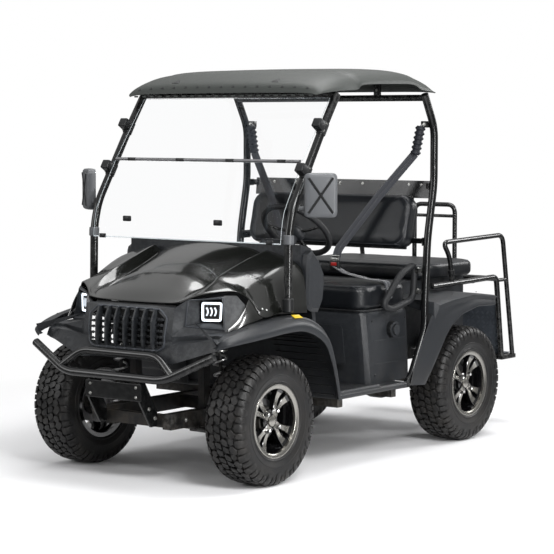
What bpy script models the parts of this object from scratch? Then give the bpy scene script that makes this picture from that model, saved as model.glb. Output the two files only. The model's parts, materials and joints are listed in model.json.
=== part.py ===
"""A lifted four-seat petrol golf cart with a rear-facing bench, as separate solids.

Metres, +Z up. The cart faces -Y and its left side is +X. Every piece hangs from one empty whose
origin is on the ground under the front axle, so that lengths along Y are read from that axle.
"""

import math

import bmesh
import bpy
from mathutils import Matrix, Vector

# Driving dimensions
WHEELBASE = 1.648
BODY_CENTRE_Y = 0.9515
TYRE_RADIUS = 0.291
TYRE_HALF_WIDTH = 0.105
RIM_RADIUS = 0.153
RIM_HALF_WIDTH = 0.0925
FRONT_TRACK_HALF = 0.515
REAR_TRACK_HALF = 0.505
KINGPIN_X = 0.405
STEERING_ARM = 0.120
FLOOR_TOP = 0.358
SEAT_TOP = 0.840
PILLAR_X = 0.583
TUBE = 0.019
FIT = 0.0003
SKIN = 0.005
RAIL_X = 0.210
RAIL_HALF_WIDTH = 0.025
RAIL_LOW = 0.250
RAIL_TOP = 0.320
REAR_KIT_X = 0.460
WHEEL_CENTRE = Vector((0.270, 0.600, 1.105))
COLUMN_TILT = math.radians(47)
SLIGHT_TURN = math.radians(14)
SCREEN_HALF = 0.560

# Colours and finishes: colour, roughness, metallic
FINISHES = {
    "gloss_paint": ((0.034, 0.034, 0.028), 0.22, 0.35),
    "matte_plastic": ((0.062, 0.066, 0.071), 0.62, 0.0),
    "roof_plastic": ((0.083, 0.088, 0.083), 0.55, 0.0),
    "black_steel": ((0.010, 0.011, 0.012), 0.38, 0.2),
    "chassis_steel": ((0.014, 0.014, 0.015), 0.55, 0.3),
    "black_vinyl": ((0.018, 0.020, 0.023), 0.42, 0.0),
    "rubber": ((0.024, 0.024, 0.024), 0.85, 0.0),
    "machined_rim": ((0.42, 0.40, 0.36), 0.25, 0.9),
    "clear_sheet": ((0.85, 0.88, 0.90), 0.08, 0.0),
    "lamp": ((0.70, 0.72, 0.74), 0.20, 0.0),
    "mirror_grey": ((0.20, 0.20, 0.20), 0.50, 0.0),
    "webbing": ((0.045, 0.047, 0.055), 0.80, 0.0),
    "tread_plate": ((0.11, 0.12, 0.13), 0.40, 0.7),
    "alloy": ((0.35, 0.35, 0.35), 0.45, 0.8),
}

for old in list(bpy.data.objects):
    bpy.data.objects.remove(old, do_unlink=True)

PARTS = bpy.data.collections.new("golf_cart")
CUTTERS = bpy.data.collections.new("cutters")
bpy.context.scene.collection.children.link(PARTS)
bpy.context.scene.collection.children.link(CUTTERS)

CART = bpy.data.objects.new("cart_on_front_axle", None)
CART.location = (0, -BODY_CENTRE_Y, 0)
PARTS.objects.link(CART)


def material(name):
    """The Principled material of one finish, made once."""
    found = bpy.data.materials.get(name)
    if found:
        return found
    colour, roughness, metallic = FINISHES[name]
    made = bpy.data.materials.new(name)
    made.use_nodes = True
    shader = made.node_tree.nodes["Principled BSDF"]
    shader.inputs["Base Color"].default_value = (*colour, 1)
    shader.inputs["Roughness"].default_value = roughness
    shader.inputs["Metallic"].default_value = metallic
    made.diffuse_color = (*colour, 1)
    return made


# Helpers that put an object in the scene


def add_part(name, mesh, finish, location=(0, 0, 0), rotation=(0, 0, 0)):
    """A visible piece of the cart, hung from the cart's empty."""
    piece = bpy.data.objects.new(name, mesh)
    piece.location = location
    piece.rotation_euler = rotation
    piece.parent = CART
    mesh.materials.clear()
    mesh.materials.append(material(finish))
    PARTS.objects.link(piece)
    return piece


def add_helper(name, mesh, parent=CART):
    """A hidden solid that another piece is cut by or joined with."""
    helper = bpy.data.objects.new(name, mesh)
    helper.parent = parent
    helper.hide_render = True
    helper.display_type = "WIRE"
    CUTTERS.objects.link(helper)
    return helper


def boolean(piece, mesh, operation, label):
    """Leaves a live Boolean on the piece, with the mesh in the piece's own frame."""
    helper = add_helper(f"{piece.name}_{label}", mesh, piece)
    change = piece.modifiers.new(label, "BOOLEAN")
    change.operation = operation
    change.solver = "EXACT"
    change.object = helper
    return helper


def join(piece, *meshes):
    for count, mesh in enumerate(meshes):
        boolean(piece, mesh, "UNION", f"join_{count}_{len(piece.modifiers)}")
    return piece


def cut(piece, *meshes):
    for count, mesh in enumerate(meshes):
        boolean(piece, mesh, "DIFFERENCE", f"cut_{count}_{len(piece.modifiers)}")
    return piece


def smooth(piece, angle=35):
    piece.data.shade_smooth()
    piece.data.set_sharp_from_angle(angle=math.radians(angle))
    return piece


# Helpers that make a mesh


def mesh_of(shape, outward=True):
    """Turns a bmesh into a mesh, with its faces pointing out."""
    if outward:
        bmesh.ops.recalc_face_normals(shape, faces=shape.faces)
    made = bpy.data.meshes.new("shape")
    shape.to_mesh(made)
    shape.free()
    return made


def box(low, high, bevel=0.0, segments=2):
    """A box between two corners, with rounded edges if a bevel is given."""
    shape = bmesh.new()
    bmesh.ops.create_cube(shape, size=1)
    low, high = Vector(low), Vector(high)
    bmesh.ops.scale(shape, vec=high - low, verts=shape.verts)
    bmesh.ops.translate(shape, vec=(low + high) / 2, verts=shape.verts)
    if bevel:
        bmesh.ops.bevel(
            shape, geom=shape.edges[:], offset=bevel, segments=segments, affect="EDGES", profile=0.5
        )
    return mesh_of(shape)


def rod(start, end, radius, sides=10, end_radius=None):
    """A round bar or cone from one point to another."""
    start, end = Vector(start), Vector(end)
    shape = bmesh.new()
    bmesh.ops.create_cone(
        shape,
        cap_ends=True,
        segments=sides,
        radius1=radius,
        radius2=radius if end_radius is None else end_radius,
        depth=(end - start).length,
    )
    turn = (end - start).to_track_quat("Z", "Y").to_matrix().to_4x4()
    bmesh.ops.transform(shape, matrix=Matrix.Translation((start + end) / 2) @ turn, verts=shape.verts)
    return mesh_of(shape)


def rounded_path(points, bend, steps=3, closed=False):
    """The corners of a polyline turned into arcs of about the given radius."""
    points = [Vector(point) for point in points]
    count = len(points)
    path = []
    for index, corner in enumerate(points):
        if not closed and index in (0, count - 1):
            path.append(corner)
            continue
        back = points[index - 1] - corner
        ahead = points[(index + 1) % count] - corner
        turn = math.pi - back.angle(ahead)
        if turn < SLIGHT_TURN:
            path.append(corner)
            continue
        arc_steps = max(1, round(steps * turn * 2 / math.pi))
        reach = min(bend * 0.8, back.length * 0.45, ahead.length * 0.45)
        start = corner + back.normalized() * reach
        end = corner + ahead.normalized() * reach
        for step in range(arc_steps + 1):
            t = step / arc_steps
            path.append(start * (1 - t) ** 2 + corner * 2 * t * (1 - t) + end * t**2)
    return path


def tube(points, radius, bend=0.0, steps=3, closed=False, resolution=2):
    """A round tube along a path, as a mesh made from a bevelled curve."""
    path = rounded_path(points, bend, steps, closed) if bend else [Vector(point) for point in points]
    curve = bpy.data.curves.new("tube", "CURVE")
    curve.dimensions = "3D"
    curve.bevel_depth = radius
    curve.bevel_resolution = resolution
    curve.use_fill_caps = True
    spline = curve.splines.new("POLY")
    spline.points.add(len(path) - 1)
    for point, place in zip(spline.points, path):
        point.co = (*place, 1)
    spline.use_cyclic_u = closed
    return mesh_of_curve(curve)


def plate(outline, thickness, turn=None, holes=()):
    """A flat plate from an outline in X and Y, its thickness centred on Z, then turned."""
    curve = bpy.data.curves.new("plate", "CURVE")
    curve.dimensions = "2D"
    curve.fill_mode = "BOTH"
    curve.extrude = thickness / 2
    for line in (outline, *holes):
        spline = curve.splines.new("POLY")
        spline.points.add(len(line) - 1)
        for point, (x, y) in zip(spline.points, line):
            point.co = (x, y, 0, 1)
        spline.use_cyclic_u = True
    made = mesh_of_curve(curve)
    if turn:
        made.transform(turn)
        if turn.determinant() < 0:
            made.flip_normals()
    return made


def mesh_of_curve(curve):
    """The welded mesh of a curve, which is removed afterwards."""
    guide = bpy.data.objects.new("guide", curve)
    bpy.context.scene.collection.objects.link(guide)
    graph = bpy.context.evaluated_depsgraph_get()
    made = bpy.data.meshes.new_from_object(guide.evaluated_get(graph))
    bpy.data.objects.remove(guide, do_unlink=True)
    bpy.data.curves.remove(curve)
    shape = bmesh.new()
    shape.from_mesh(made)
    bmesh.ops.remove_doubles(shape, verts=shape.verts, dist=0.00005)
    bpy.data.meshes.remove(made)
    return mesh_of(shape)


# Turns a plate so that its outline lies in the Y and Z directions and its thickness along X
SIDEWAYS = Matrix(((0, 0, 1, 0), (1, 0, 0, 0), (0, 1, 0, 0), (0, 0, 0, 1)))
# Turns a plate so that its outline lies in the X and Z directions and its thickness along Y
FACING = Matrix(((1, 0, 0, 0), (0, 0, 1, 0), (0, 1, 0, 0), (0, 0, 0, 1)))


def moved(mesh, x=0.0, y=0.0, z=0.0):
    mesh.transform(Matrix.Translation((x, y, z)))
    return mesh


def grid(rows, closed=False):
    """An open sheet through rows of points."""
    shape = bmesh.new()
    rings = [[shape.verts.new(point) for point in row] for row in rows]
    count = len(rows[0])
    for near, far in zip(rings, rings[1:]):
        for index in range(count if closed else count - 1):
            after = (index + 1) % count
            shape.faces.new((near[index], near[after], far[after], far[index]))
    return shape, rings


def loft(sections):
    """A closed solid through like sections, with its two ends filled."""
    shape, rings = grid(sections, closed=True)
    shape.faces.new(reversed(rings[0]))
    shape.faces.new(rings[-1])
    return mesh_of(shape)


def thickened(base, thickness, even=True):
    """An open mesh, whose faces point out, made solid behind them."""
    piece = bpy.data.objects.new("sheet", base)
    bpy.context.scene.collection.objects.link(piece)
    thicken = piece.modifiers.new("wall", "SOLIDIFY")
    thicken.thickness = thickness
    thicken.offset = -1
    thicken.use_even_offset = even
    graph = bpy.context.evaluated_depsgraph_get()
    made = bpy.data.meshes.new_from_object(piece.evaluated_get(graph))
    bpy.data.objects.remove(piece, do_unlink=True)
    bpy.data.meshes.remove(base)
    shape = bmesh.new()
    shape.from_mesh(made)
    bpy.data.meshes.remove(made)
    return mesh_of(shape)


def sheet(rows, thickness):
    """A thin moulding through rows of points, which run so that its faces point out."""
    shape, _ = grid(rows)
    return thickened(mesh_of(shape, outward=False), thickness)


def turned(profile, steps, place=None):
    """A solid of revolution about Z from a profile of radius and height."""
    shape = bmesh.new()
    points = [shape.verts.new((radius, 0, height)) for radius, height in profile]
    edges = [shape.edges.new(pair) for pair in zip(points, points[1:] + points[:1])]
    axis_edges = [edge for edge in edges if all(abs(vert.co.x) < 1e-6 for vert in edge.verts)]
    bmesh.ops.delete(shape, geom=axis_edges, context="EDGES_FACES")
    bmesh.ops.spin(
        shape,
        geom=shape.verts[:] + shape.edges[:],
        axis=(0, 0, 1),
        cent=(0, 0, 0),
        steps=steps,
        angle=math.tau,
        use_merge=True,
    )
    bmesh.ops.remove_doubles(shape, verts=shape.verts, dist=0.00005)
    if place:
        bmesh.ops.transform(shape, matrix=place, verts=shape.verts)
    return mesh_of(shape)


# Wheels

LUGS = 18
LUG_DEPTH = 0.010
# Half of the tyre's section, outwards from the bead: radius, distance from the middle, lug share
TYRE_SECTION = (
    (0.1535, 0.0800, 0.0),
    (0.2250, 0.1050, 0.0),
    (0.2790, 0.0930, 1.0),
    (TYRE_RADIUS, 0.0720, 1.0),
)


def tyre_mesh():
    """A ring whose slanting lugs reach the rolling radius."""
    half_lug = math.tau / LUGS / 5
    rings = []
    for lug in range(LUGS):
        middle = math.tau * lug / LUGS
        for shift, height in ((-1.0, 1), (1.0, 1), (1.5, 0), (3.5, 0)):
            ring = []
            for side, points in ((1, TYRE_SECTION), (-1, TYRE_SECTION[::-1])):
                for radius, away, share in points:
                    angle = middle + half_lug * (shift + side * share)
                    reach = radius - LUG_DEPTH * share * (1 - height)
                    ring.append(
                        Vector((side * away, reach * math.sin(angle), -reach * math.cos(angle)))
                    )
            rings.append(ring)
    shape, loops = grid(rings, closed=True)
    count = len(rings[0])
    for index in range(count):
        after = (index + 1) % count
        shape.faces.new((loops[-1][index], loops[-1][after], loops[0][after], loops[0][index]))
    return mesh_of(shape)


RIM_STEPS = 16
SPOKE_PAIRS = 4
FACE_PLACE = 0.052
FACE_THICKNESS = 0.014
HUB_RADIUS = 0.036


def polar(radius, degrees):
    return (radius * math.cos(math.radians(degrees)), radius * math.sin(math.radians(degrees)))


def rim_face():
    """The spoked face: four pairs of split spokes between wide windows and narrow slots."""
    outline = [polar(RIM_RADIUS - 0.003, 360 * step / RIM_STEPS) for step in range(RIM_STEPS)]
    holes = []
    for pair in range(SPOKE_PAIRS):
        turn = 360 * pair / SPOKE_PAIRS
        wide = ((0.058, -14), (0.058, 14), (0.138, 28), (0.138, -28))
        slot = ((0.074, 45), (0.134, 51), (0.134, 39))
        for hole in (wide, slot):
            holes.append([polar(radius, turn + angle) for radius, angle in hole])
    return plate(outline, FACE_THICKNESS, None, holes)


def rim_mesh_parts():
    """The barrel with its flanges, the spoked face and the hub, outboard along +Z."""
    barrel = turned(
        (
            (RIM_RADIUS + 0.0145, RIM_HALF_WIDTH),
            (RIM_RADIUS + 0.0145, 0.0866),
            (RIM_RADIUS, 0.0866),
            (RIM_RADIUS, -0.0866),
            (RIM_RADIUS + 0.0145, -0.0866),
            (RIM_RADIUS + 0.0145, -RIM_HALF_WIDTH),
            (RIM_RADIUS - 0.006, -RIM_HALF_WIDTH),
            (RIM_RADIUS - 0.006, RIM_HALF_WIDTH),
        ),
        RIM_STEPS,
    )
    face = moved(rim_face(), z=FACE_PLACE)
    hub = turned(
        (
            (0, FACE_PLACE + 0.018),
            (0.026, FACE_PLACE + 0.016),
            (HUB_RADIUS + 0.012, FACE_PLACE + 0.004),
            (HUB_RADIUS + 0.012, -0.030),
            (0, -0.030),
        ),
        8,
    )
    return barrel, face, hub


def wheel(name, x, y, side):
    """One tyre and its rim, with the axle along X; side is +1 on the left."""
    centre = (x * side, y, TYRE_RADIUS)
    tyre = add_part(f"tyre_{name}", tyre_mesh(), "rubber", centre)
    smooth(tyre, 30)
    barrel, face, hub = rim_mesh_parts()
    rim = add_part(f"rim_{name}", barrel, "machined_rim", centre, (0, side * math.pi / 2, 0))
    join(rim, face, hub)
    smooth(rim)


# Steering and front suspension


def knuckle(name, side):
    """The upright that carries a front wheel and turns about its kingpin."""
    centre = (side * KINGPIN_X, 0, TYRE_RADIUS)
    post = rod((0, 0, -0.062), (0, 0, 0.062), 0.018, 12)
    piece = add_part(f"knuckle_{name}", post, "alloy", centre)
    stub_end = FRONT_TRACK_HALF - KINGPIN_X - 0.032
    join(
        piece,
        rod((0, 0, 0), (side * stub_end, 0, 0), 0.020, 12),
        rod((side * 0.024, 0, 0), (side * 0.040, 0, 0), 0.070, 16),
        plate(
            [(-0.014, 0), (0.014, 0), (0.012, STEERING_ARM), (-0.012, STEERING_ARM)],
            0.014,
            Matrix.Translation((-side * 0.006, 0, -0.041)),
        ),
    )
    smooth(piece)


def steering_rack():
    """The rack bar and its two tie rods, sliding along X under the frame rails."""
    height = 0.226
    reach = KINGPIN_X - 0.020
    bar = rod((-reach, STEERING_ARM, height), (reach, STEERING_ARM, height), 0.0085, 8)
    piece = add_part("steering_rack", bar, "alloy")
    for side in (-1, 1):
        join(
            piece,
            rod((side * 0.12, STEERING_ARM, height), (side * 0.20, STEERING_ARM, height), 0.016, 10),
            rod(
                (side * reach, STEERING_ARM, height - 0.009),
                (side * reach, STEERING_ARM, height + 0.0115),
                0.013,
                10,
            ),
        )
    smooth(piece)


def coil_over(start, end, turns=3, coil_radius=0.032):
    """The pieces of a damper with its spring, between two points."""
    start, end = Vector(start), Vector(end)
    length = (end - start).length
    place = Matrix.Translation(start) @ (end - start).to_track_quat("Z", "Y").to_matrix().to_4x4()
    seat = coil_radius + 0.006
    damper = turned(
        (
            (0, length),
            (0.012, length),
            (seat, length * 0.88),
            (0.012, length * 0.82),
            (0.019, length * 0.50),
            (0.019, length * 0.24),
            (seat, length * 0.18),
            (0.014, 0),
            (0, 0),
        ),
        6,
        place,
    )
    steps = turns * 7
    low, high = length * 0.185, length * 0.875
    coil = [
        place
        @ Vector(
            (
                coil_radius * math.cos(math.tau * turns * step / steps),
                coil_radius * math.sin(math.tau * turns * step / steps),
                low + (high - low) * step / steps,
            )
        )
        for step in range(steps + 1)
    ]
    return damper, tube(coil, 0.005, resolution=0)


def front_suspension():
    """The lower arms on their subframe, the upper mounts and both coil-overs, as one welded set."""
    piece = add_part(
        "front_suspension", box((-0.246, -0.130, 0.236), (0.246, 0.096, RAIL_LOW - FIT)), "chassis_steel"
    )
    foot = TYRE_RADIUS - 0.062 - 0.001
    for side in (-1, 1):
        damper, spring = coil_over((side * 0.330, -0.012, 0.205), (side * 0.285, -0.012, 0.640))
        join(
            piece,
            tube([(side * 0.200, -0.110, 0.2365), (side * KINGPIN_X, -0.006, 0.214)], 0.012, resolution=1),
            tube([(side * 0.200, 0.080, 0.2365), (side * KINGPIN_X, 0.006, 0.214)], 0.012, resolution=1),
            rod((side * KINGPIN_X, 0, 0.200), (side * KINGPIN_X, 0, foot), 0.018, 8),
            damper,
            spring,
            box((side * 0.285 - 0.045, -0.045, 0.628), (side * 0.285 + 0.045, 0.020, 0.645)),
            rod((side * KINGPIN_X, 0, 0.354), (side * KINGPIN_X, 0, 0.376), 0.018, 8),
            tube(
                [(side * KINGPIN_X, 0, 0.366), (side * 0.355, 0.062, 0.368), (side * 0.242, 0.062, 0.372)],
                0.010,
                resolution=1,
            ),
            box((side * 0.241 - 0.005, 0.042, 0.236), (side * 0.241 + 0.005, 0.082, 0.386)),
            box((side * 0.330 - 0.035, -0.066, 0.206), (side * 0.330 + 0.035, 0.056, 0.222)),
        )
    return piece


FRAME_FRONT = -0.285
FRAME_REAR = 1.990
KICK_UP = 0.140
# Where each cross member lies along Y, and how far the rails have risen there
CROSS_MEMBERS = (
    (FRAME_FRONT + 0.025, 0.0),
    (0.300, 0.0),
    (0.860, 0.0),
    (1.315, 0.0),
    (FRAME_REAR - 0.025, KICK_UP),
)


def frame_rail(side):
    """One rail from the side: straight under the floor, then up and over the rear axle."""
    low, top, up = RAIL_LOW, RAIL_TOP, KICK_UP
    outline = [
        (FRAME_FRONT, low), (1.400, low), (1.540, low + up), (FRAME_REAR, low + up),
        (FRAME_REAR, top + up), (1.510, top + up), (1.370, top), (FRAME_FRONT, top),
    ]
    place = Matrix.Translation((side * RAIL_X, 0, 0)) @ SIDEWAYS
    return plate(outline, RAIL_HALF_WIDTH * 2, place)


def main_frame():
    """Two rails, their cross members, outriggers for the floor and the spring towers."""
    piece = add_part("main_frame", frame_rail(1), "chassis_steel")
    pieces = [frame_rail(-1)]
    for y, rise in CROSS_MEMBERS:
        low, high = RAIL_LOW + rise + 0.008, RAIL_TOP + rise - 0.008
        pieces.append(box((-RAIL_X, y - 0.022, low), (RAIL_X, y + 0.022, high)))
    for y in (0.560, 1.010):
        pieces.append(box((-0.555, y - 0.020, 0.286), (0.555, y + 0.020, FLOOR_TOP - 0.027 - FIT)))
    for side in (-1, 1):
        for y, low, high in ((-0.015, RAIL_TOP, 0.662), (1.605, RAIL_TOP + KICK_UP, 0.640)):
            x = side * 0.205
            pieces.append(box((x - 0.017, y - 0.022, low - 0.010), (x + 0.017, y + 0.022, high)))
    pieces.append(box((-0.335, -0.045, 0.6455), (0.335, 0.020, 0.672)))
    pieces.append(box((-0.335, 1.580, 0.6205), (0.335, 1.630, 0.645)))
    return join(piece, *pieces)


def rear_axle():
    """The live axle with its gear case, trailing links and coil-overs."""
    end = REAR_TRACK_HALF - 0.032
    beam = rod((-end, WHEELBASE, TYRE_RADIUS), (end, WHEELBASE, TYRE_RADIUS), 0.022, 12)
    piece = add_part("rear_axle", beam, "chassis_steel")
    case = turned(
        ((0, 0.085), (0.040, 0.085), (0.085, 0.040), (0.085, -0.040), (0.040, -0.085), (0, -0.085)),
        12,
        Matrix.Translation((0.030, WHEELBASE, TYRE_RADIUS - 0.035)) @ Matrix.Rotation(math.pi / 2, 4, "Y"),
    )
    join(piece, case)
    for side in (-1, 1):
        damper, spring = coil_over((side * 0.315, WHEELBASE - 0.012, 0.300), (side * 0.290, 1.605, 0.6190))
        join(
            piece,
            rod((side * 0.372, WHEELBASE, TYRE_RADIUS), (side * 0.392, WHEELBASE, TYRE_RADIUS), 0.085, 16),
            damper,
            spring,
            tube([(side * 0.315, WHEELBASE, 0.275), (side * 0.300, 1.290, 0.275)], 0.014, resolution=1),
            rod((side * 0.2353, 1.290, 0.275), (side * 0.318, 1.290, 0.275), 0.020, 8),
        )
    return smooth(piece)


def engine():
    """The engine and gearbox, as one plain block between the rails."""
    block = box((-0.170, 1.294, RAIL_TOP - 0.008 + FIT), (0.170, 1.530, 0.560), 0.020)
    return add_part("engine", block, "chassis_steel")


# Front end

BUMPER_TUBE = 0.0195


def front_bumper():
    """The bull bar: a low tube with upswept ends, a loop above it, a blank plate and its brackets."""
    low = tube(
        [(-0.528, -0.346, 0.600), (-0.290, -0.400, 0.488), (0.290, -0.400, 0.488), (0.528, -0.346, 0.600)],
        BUMPER_TUBE,
        0.07,
    )
    piece = add_part("front_bumper", low, "black_steel")
    loop = tube(
        [(-0.330, -0.392, 0.508), (-0.225, -0.366, 0.588), (0.225, -0.366, 0.588), (0.330, -0.392, 0.508)],
        0.017,
        0.06,
    )
    join(piece, loop, box((-0.165, -0.408, 0.385), (0.165, -0.400, 0.462)))
    for side in (-1, 1):
        arm = plate(
            [(-0.404, 0.480), (-0.375, 0.480), (-0.2853, 0.330), (-0.2853, 0.262), (-0.330, 0.262),
             (-0.404, 0.380)],
            0.010,
            Matrix.Translation((side * 0.150, 0, 0)) @ SIDEWAYS,
        )
        join(piece, arm)
    return smooth(piece)


# The hood's half sections, front to back: place along Y, then points of X and Z from the middle over
# the crowned panel, down into the valley, up its wall to the ridge and down to the side
HOOD_SECTIONS = (
    (-0.262, ((0, 0.812), (0.10, 0.813), (0.18, 0.815), (0.215, 0.817), (0.235, 0.819), (0.250, 0.821),
              (0.262, 0.823), (0.270, 0.819))),
    (-0.200, ((0, 0.864), (0.11, 0.861), (0.20, 0.853), (0.262, 0.844), (0.292, 0.850), (0.312, 0.855),
              (0.328, 0.858), (0.340, 0.854))),
    (-0.110, ((0, 0.917), (0.12, 0.912), (0.22, 0.891), (0.276, 0.870), (0.308, 0.889), (0.336, 0.897),
              (0.405, 0.885), (0.450, 0.871))),
    (-0.068, ((0, 0.937), (0.12, 0.932), (0.22, 0.907), (0.276, 0.884), (0.307, 0.908), (0.335, 0.917),
              (0.440, 0.884), (0.504, 0.838))),
    (-0.030, ((0, 0.952), (0.12, 0.946), (0.22, 0.919), (0.276, 0.893), (0.306, 0.925), (0.333, 0.934),
              (0.450, 0.890), (0.548, 0.757))),
    (0.080, ((0, 0.996), (0.12, 0.990), (0.22, 0.960), (0.280, 0.928), (0.311, 0.963), (0.339, 0.970),
             (0.480, 0.925), (0.553, 0.760))),
    (0.190, ((0, 1.030), (0.12, 1.025), (0.23, 1.000), (0.290, 0.964), (0.321, 0.997), (0.350, 1.003),
             (0.505, 0.950), (0.553, 0.756))),
    (0.275, ((0, 1.048), (0.12, 1.043), (0.24, 1.026), (0.302, 0.994), (0.332, 1.019), (0.358, 1.024),
             (0.515, 0.958), (0.553, 0.752))),
    (0.300, ((0, 1.050), (0.12, 1.045), (0.24, 1.030), (0.302, 1.006), (0.333, 1.012), (0.360, 1.012),
             (0.518, 0.955), (0.553, 0.750))),
)
# The hood's side panel ahead of the door line: its bottom edge, and the edge that meets the nose
HOOD_SIDE = (
    ((0.480, -0.190, 0.697), (0.477, -0.188, 0.706)),
    ((0.506, -0.150, 0.708), (0.495, -0.146, 0.742)),
    ((0.524, -0.110, 0.726), (0.506, -0.104, 0.790)),
    ((0.5400, -0.068, 0.738), (0.504, -0.062, 0.832)),
    ((0.5480, -0.024, 0.750), (0.526, -0.024, 0.787)),
)


def mirrored_row(half, y):
    """A full row across the cart from its left half, which starts at the middle."""
    row = [Vector((-x, y, z)) for x, z in reversed(half[1:])]
    return row + [Vector((x, y, z)) for x, z in half]


def hood():
    """The painted clamshell between the lamps and the dash, as a thin moulding."""
    rows = [mirrored_row(half, y) for y, half in HOOD_SECTIONS]
    piece = add_part("hood", sheet(rows, SKIN), "gloss_paint")
    for side in (-1, 1):
        rows = [[Vector((side * x, y, z)) for x, y, z in row[::-side]] for row in HOOD_SIDE]
        join(piece, sheet(rows, SKIN))
    return smooth(piece, 22)


# The cowl's columns, from the middle outwards, as points down the face: under the hood, the upper
# edge, the foot of the lamp bay, the fold out and back in, the lower panel's top and the bottom edge
COWL_COLUMNS = (
    ((0.000, -0.268, 0.800), (0.000, -0.300, 0.791), (0.000, -0.322, 0.706), (0.000, -0.3265, 0.672),
     (0.000, -0.3265, 0.650), (0.000, -0.328, 0.635), (0.000, -0.322, 0.560)),
    ((0.150, -0.268, 0.800), (0.150, -0.297, 0.791), (0.150, -0.318, 0.706), (0.150, -0.3225, 0.672),
     (0.150, -0.3225, 0.650), (0.150, -0.325, 0.635), (0.150, -0.320, 0.560)),
    ((0.252, -0.256, 0.799), (0.260, -0.290, 0.796), (0.262, -0.306, 0.710), (0.262, -0.312, 0.672),
     (0.262, -0.308, 0.650), (0.262, -0.312, 0.636), (0.270, -0.323, 0.552)),
    ((0.300, -0.212, 0.828), (0.296, -0.250, 0.830), (0.286, -0.264, 0.712), (0.290, -0.294, 0.674),
     (0.290, -0.286, 0.652), (0.292, -0.304, 0.638), (0.300, -0.323, 0.560)),
    ((0.424, -0.130, 0.840), (0.432, -0.150, 0.852), (0.450, -0.172, 0.695), (0.445, -0.240, 0.682),
     (0.445, -0.236, 0.670), (0.450, -0.274, 0.662), (0.460, -0.290, 0.612)),
    ((0.456, -0.082, 0.840), (0.463, -0.105, 0.850), (0.466, -0.155, 0.695), (0.478, -0.246, 0.683),
     (0.481, -0.242, 0.670), (0.484, -0.274, 0.662), (0.490, -0.288, 0.620)),
    ((0.490, -0.064, 0.796), (0.495, -0.080, 0.806), (0.481, -0.146, 0.694), (0.5185, -0.246, 0.684),
     (0.5185, -0.244, 0.672), (0.5185, -0.268, 0.662), (0.5185, -0.284, 0.630)),
)
GRILLE_BARS = 7
GRILLE_PITCH = 0.0545
# The lamp bay lies between these two columns and rows of the cowl; the corners of its rim and of the
# lamp run round from the lower inner one, and the lamp's plane sweeps back from the cart's front
BAY_COLUMNS = (3, 4)
BAY_ROWS = (1, 2)
BAY_RIM = ((0.301, 0.720), (0.445, 0.709), (0.427, 0.839), (0.305, 0.827))
LAMP_OUTLINE = ((-0.053, -0.046), (0.043, -0.046), (0.048, 0.045), (-0.053, 0.045))
LAMP_CENTRE = Vector((0.378, -0.168, 0.779))
LAMP_SWEEP = math.radians(25)
LAMP_DEPTH = 0.050
BAY_DEPTH = 0.012
BAY_GAP = 0.0024
COWL_WALL = 0.004


def grown(outline, width):
    """The outline, which runs anticlockwise, with its sides moved outwards."""
    points = [Vector(point) for point in outline]
    ring = []
    for before, point, after in zip(points[-1:] + points[:-1], points, points[1:] + points[:1]):
        ahead = (after - point).normalized()
        behind = (point - before).normalized()
        middle = Vector((ahead.y + behind.y, -ahead.x - behind.x))
        ring.append(tuple(point + middle * (2 * width / middle.length_squared)))
    return ring


def lamp_place(side):
    """Takes an outline about the lamp's centre onto its swept plane."""
    turn = Matrix.Translation(LAMP_CENTRE) @ Matrix.Rotation(LAMP_SWEEP, 4, "Z") @ FACING
    return Matrix.Scale(side, 4, (1, 0, 0)) @ turn


def lamp_bay(shape, corners, side):
    """Opens the cowl's face between the corners and leads its rim back to the lamp."""
    face = shape.faces.get(corners)
    place = lamp_place(side)
    frame = [corner.co.copy() for corner in corners]
    rings = {}
    for corner, (x, z), spot in zip(corners, BAY_RIM, grown(LAMP_OUTLINE, BAY_GAP)):
        across = (x - abs(frame[0].x)) / (abs(frame[1].x) - abs(frame[0].x))
        up = (z - frame[0].z) / (frame[3].z - frame[0].z)
        y = frame[0].lerp(frame[3], up).lerp(frame[1].lerp(frame[2], up), across).y
        rim = shape.verts.new((side * x, y, z))
        seat = shape.verts.new(place @ Vector((*spot, BAY_DEPTH)))
        rings[corner] = (rim, seat)
    order = list(face.verts)
    shape.faces.remove(face)
    for near, far in zip(order, order[1:] + order[:1]):
        shape.faces.new((near, far, rings[far][0], rings[near][0]))
        shape.faces.new((rings[near][0], rings[far][0], rings[far][1], rings[near][1]))


def front_cowl():
    """The matt nose with its grille opening, kinked bars and the two recessed lamp bays."""
    rows = []
    for row in range(len(COWL_COLUMNS[0])):
        line = [Vector(column[row]) for column in COWL_COLUMNS]
        rows.append([Vector((-point.x, point.y, point.z)) for point in reversed(line[1:])] + line)
    shape, rings = grid(rows[::-1])
    rings.reverse()
    middle = len(COWL_COLUMNS) - 1
    (inner, outer), (top, foot) = BAY_COLUMNS, BAY_ROWS
    for side in (-1, 1):
        places = ((foot, inner), (foot, outer), (top, outer), (top, inner))
        lamp_bay(shape, [rings[row][middle + side * column] for row, column in places], side)
    moulding = thickened(mesh_of(shape, outward=False), COWL_WALL, even=False)
    piece = add_part("front_cowl", moulding, "matte_plastic")
    opening = plate(
        [(-0.175, 0.778), (0.175, 0.778), (0.218, 0.748), (0.208, 0.628), (0.190, 0.618), (-0.190, 0.618),
         (-0.208, 0.628), (-0.218, 0.748)],
        0.200,
        Matrix.Translation((0, -0.320, 0)) @ FACING,
    )
    cut(piece, opening)
    for count in range(GRILLE_BARS):
        x = GRILLE_PITCH * (count - (GRILLE_BARS - 1) / 2)
        bar = plate(
            [(-0.312, 0.790), (-0.296, 0.790), (-0.300, 0.604), (-0.332, 0.604), (-0.338, 0.640),
             (-0.336, 0.735)],
            0.009,
            Matrix.Translation((x, 0, 0)) @ SIDEWAYS,
        )
        join(piece, bar)
    return smooth(piece, 25)


CHEVRONS = 3


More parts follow.
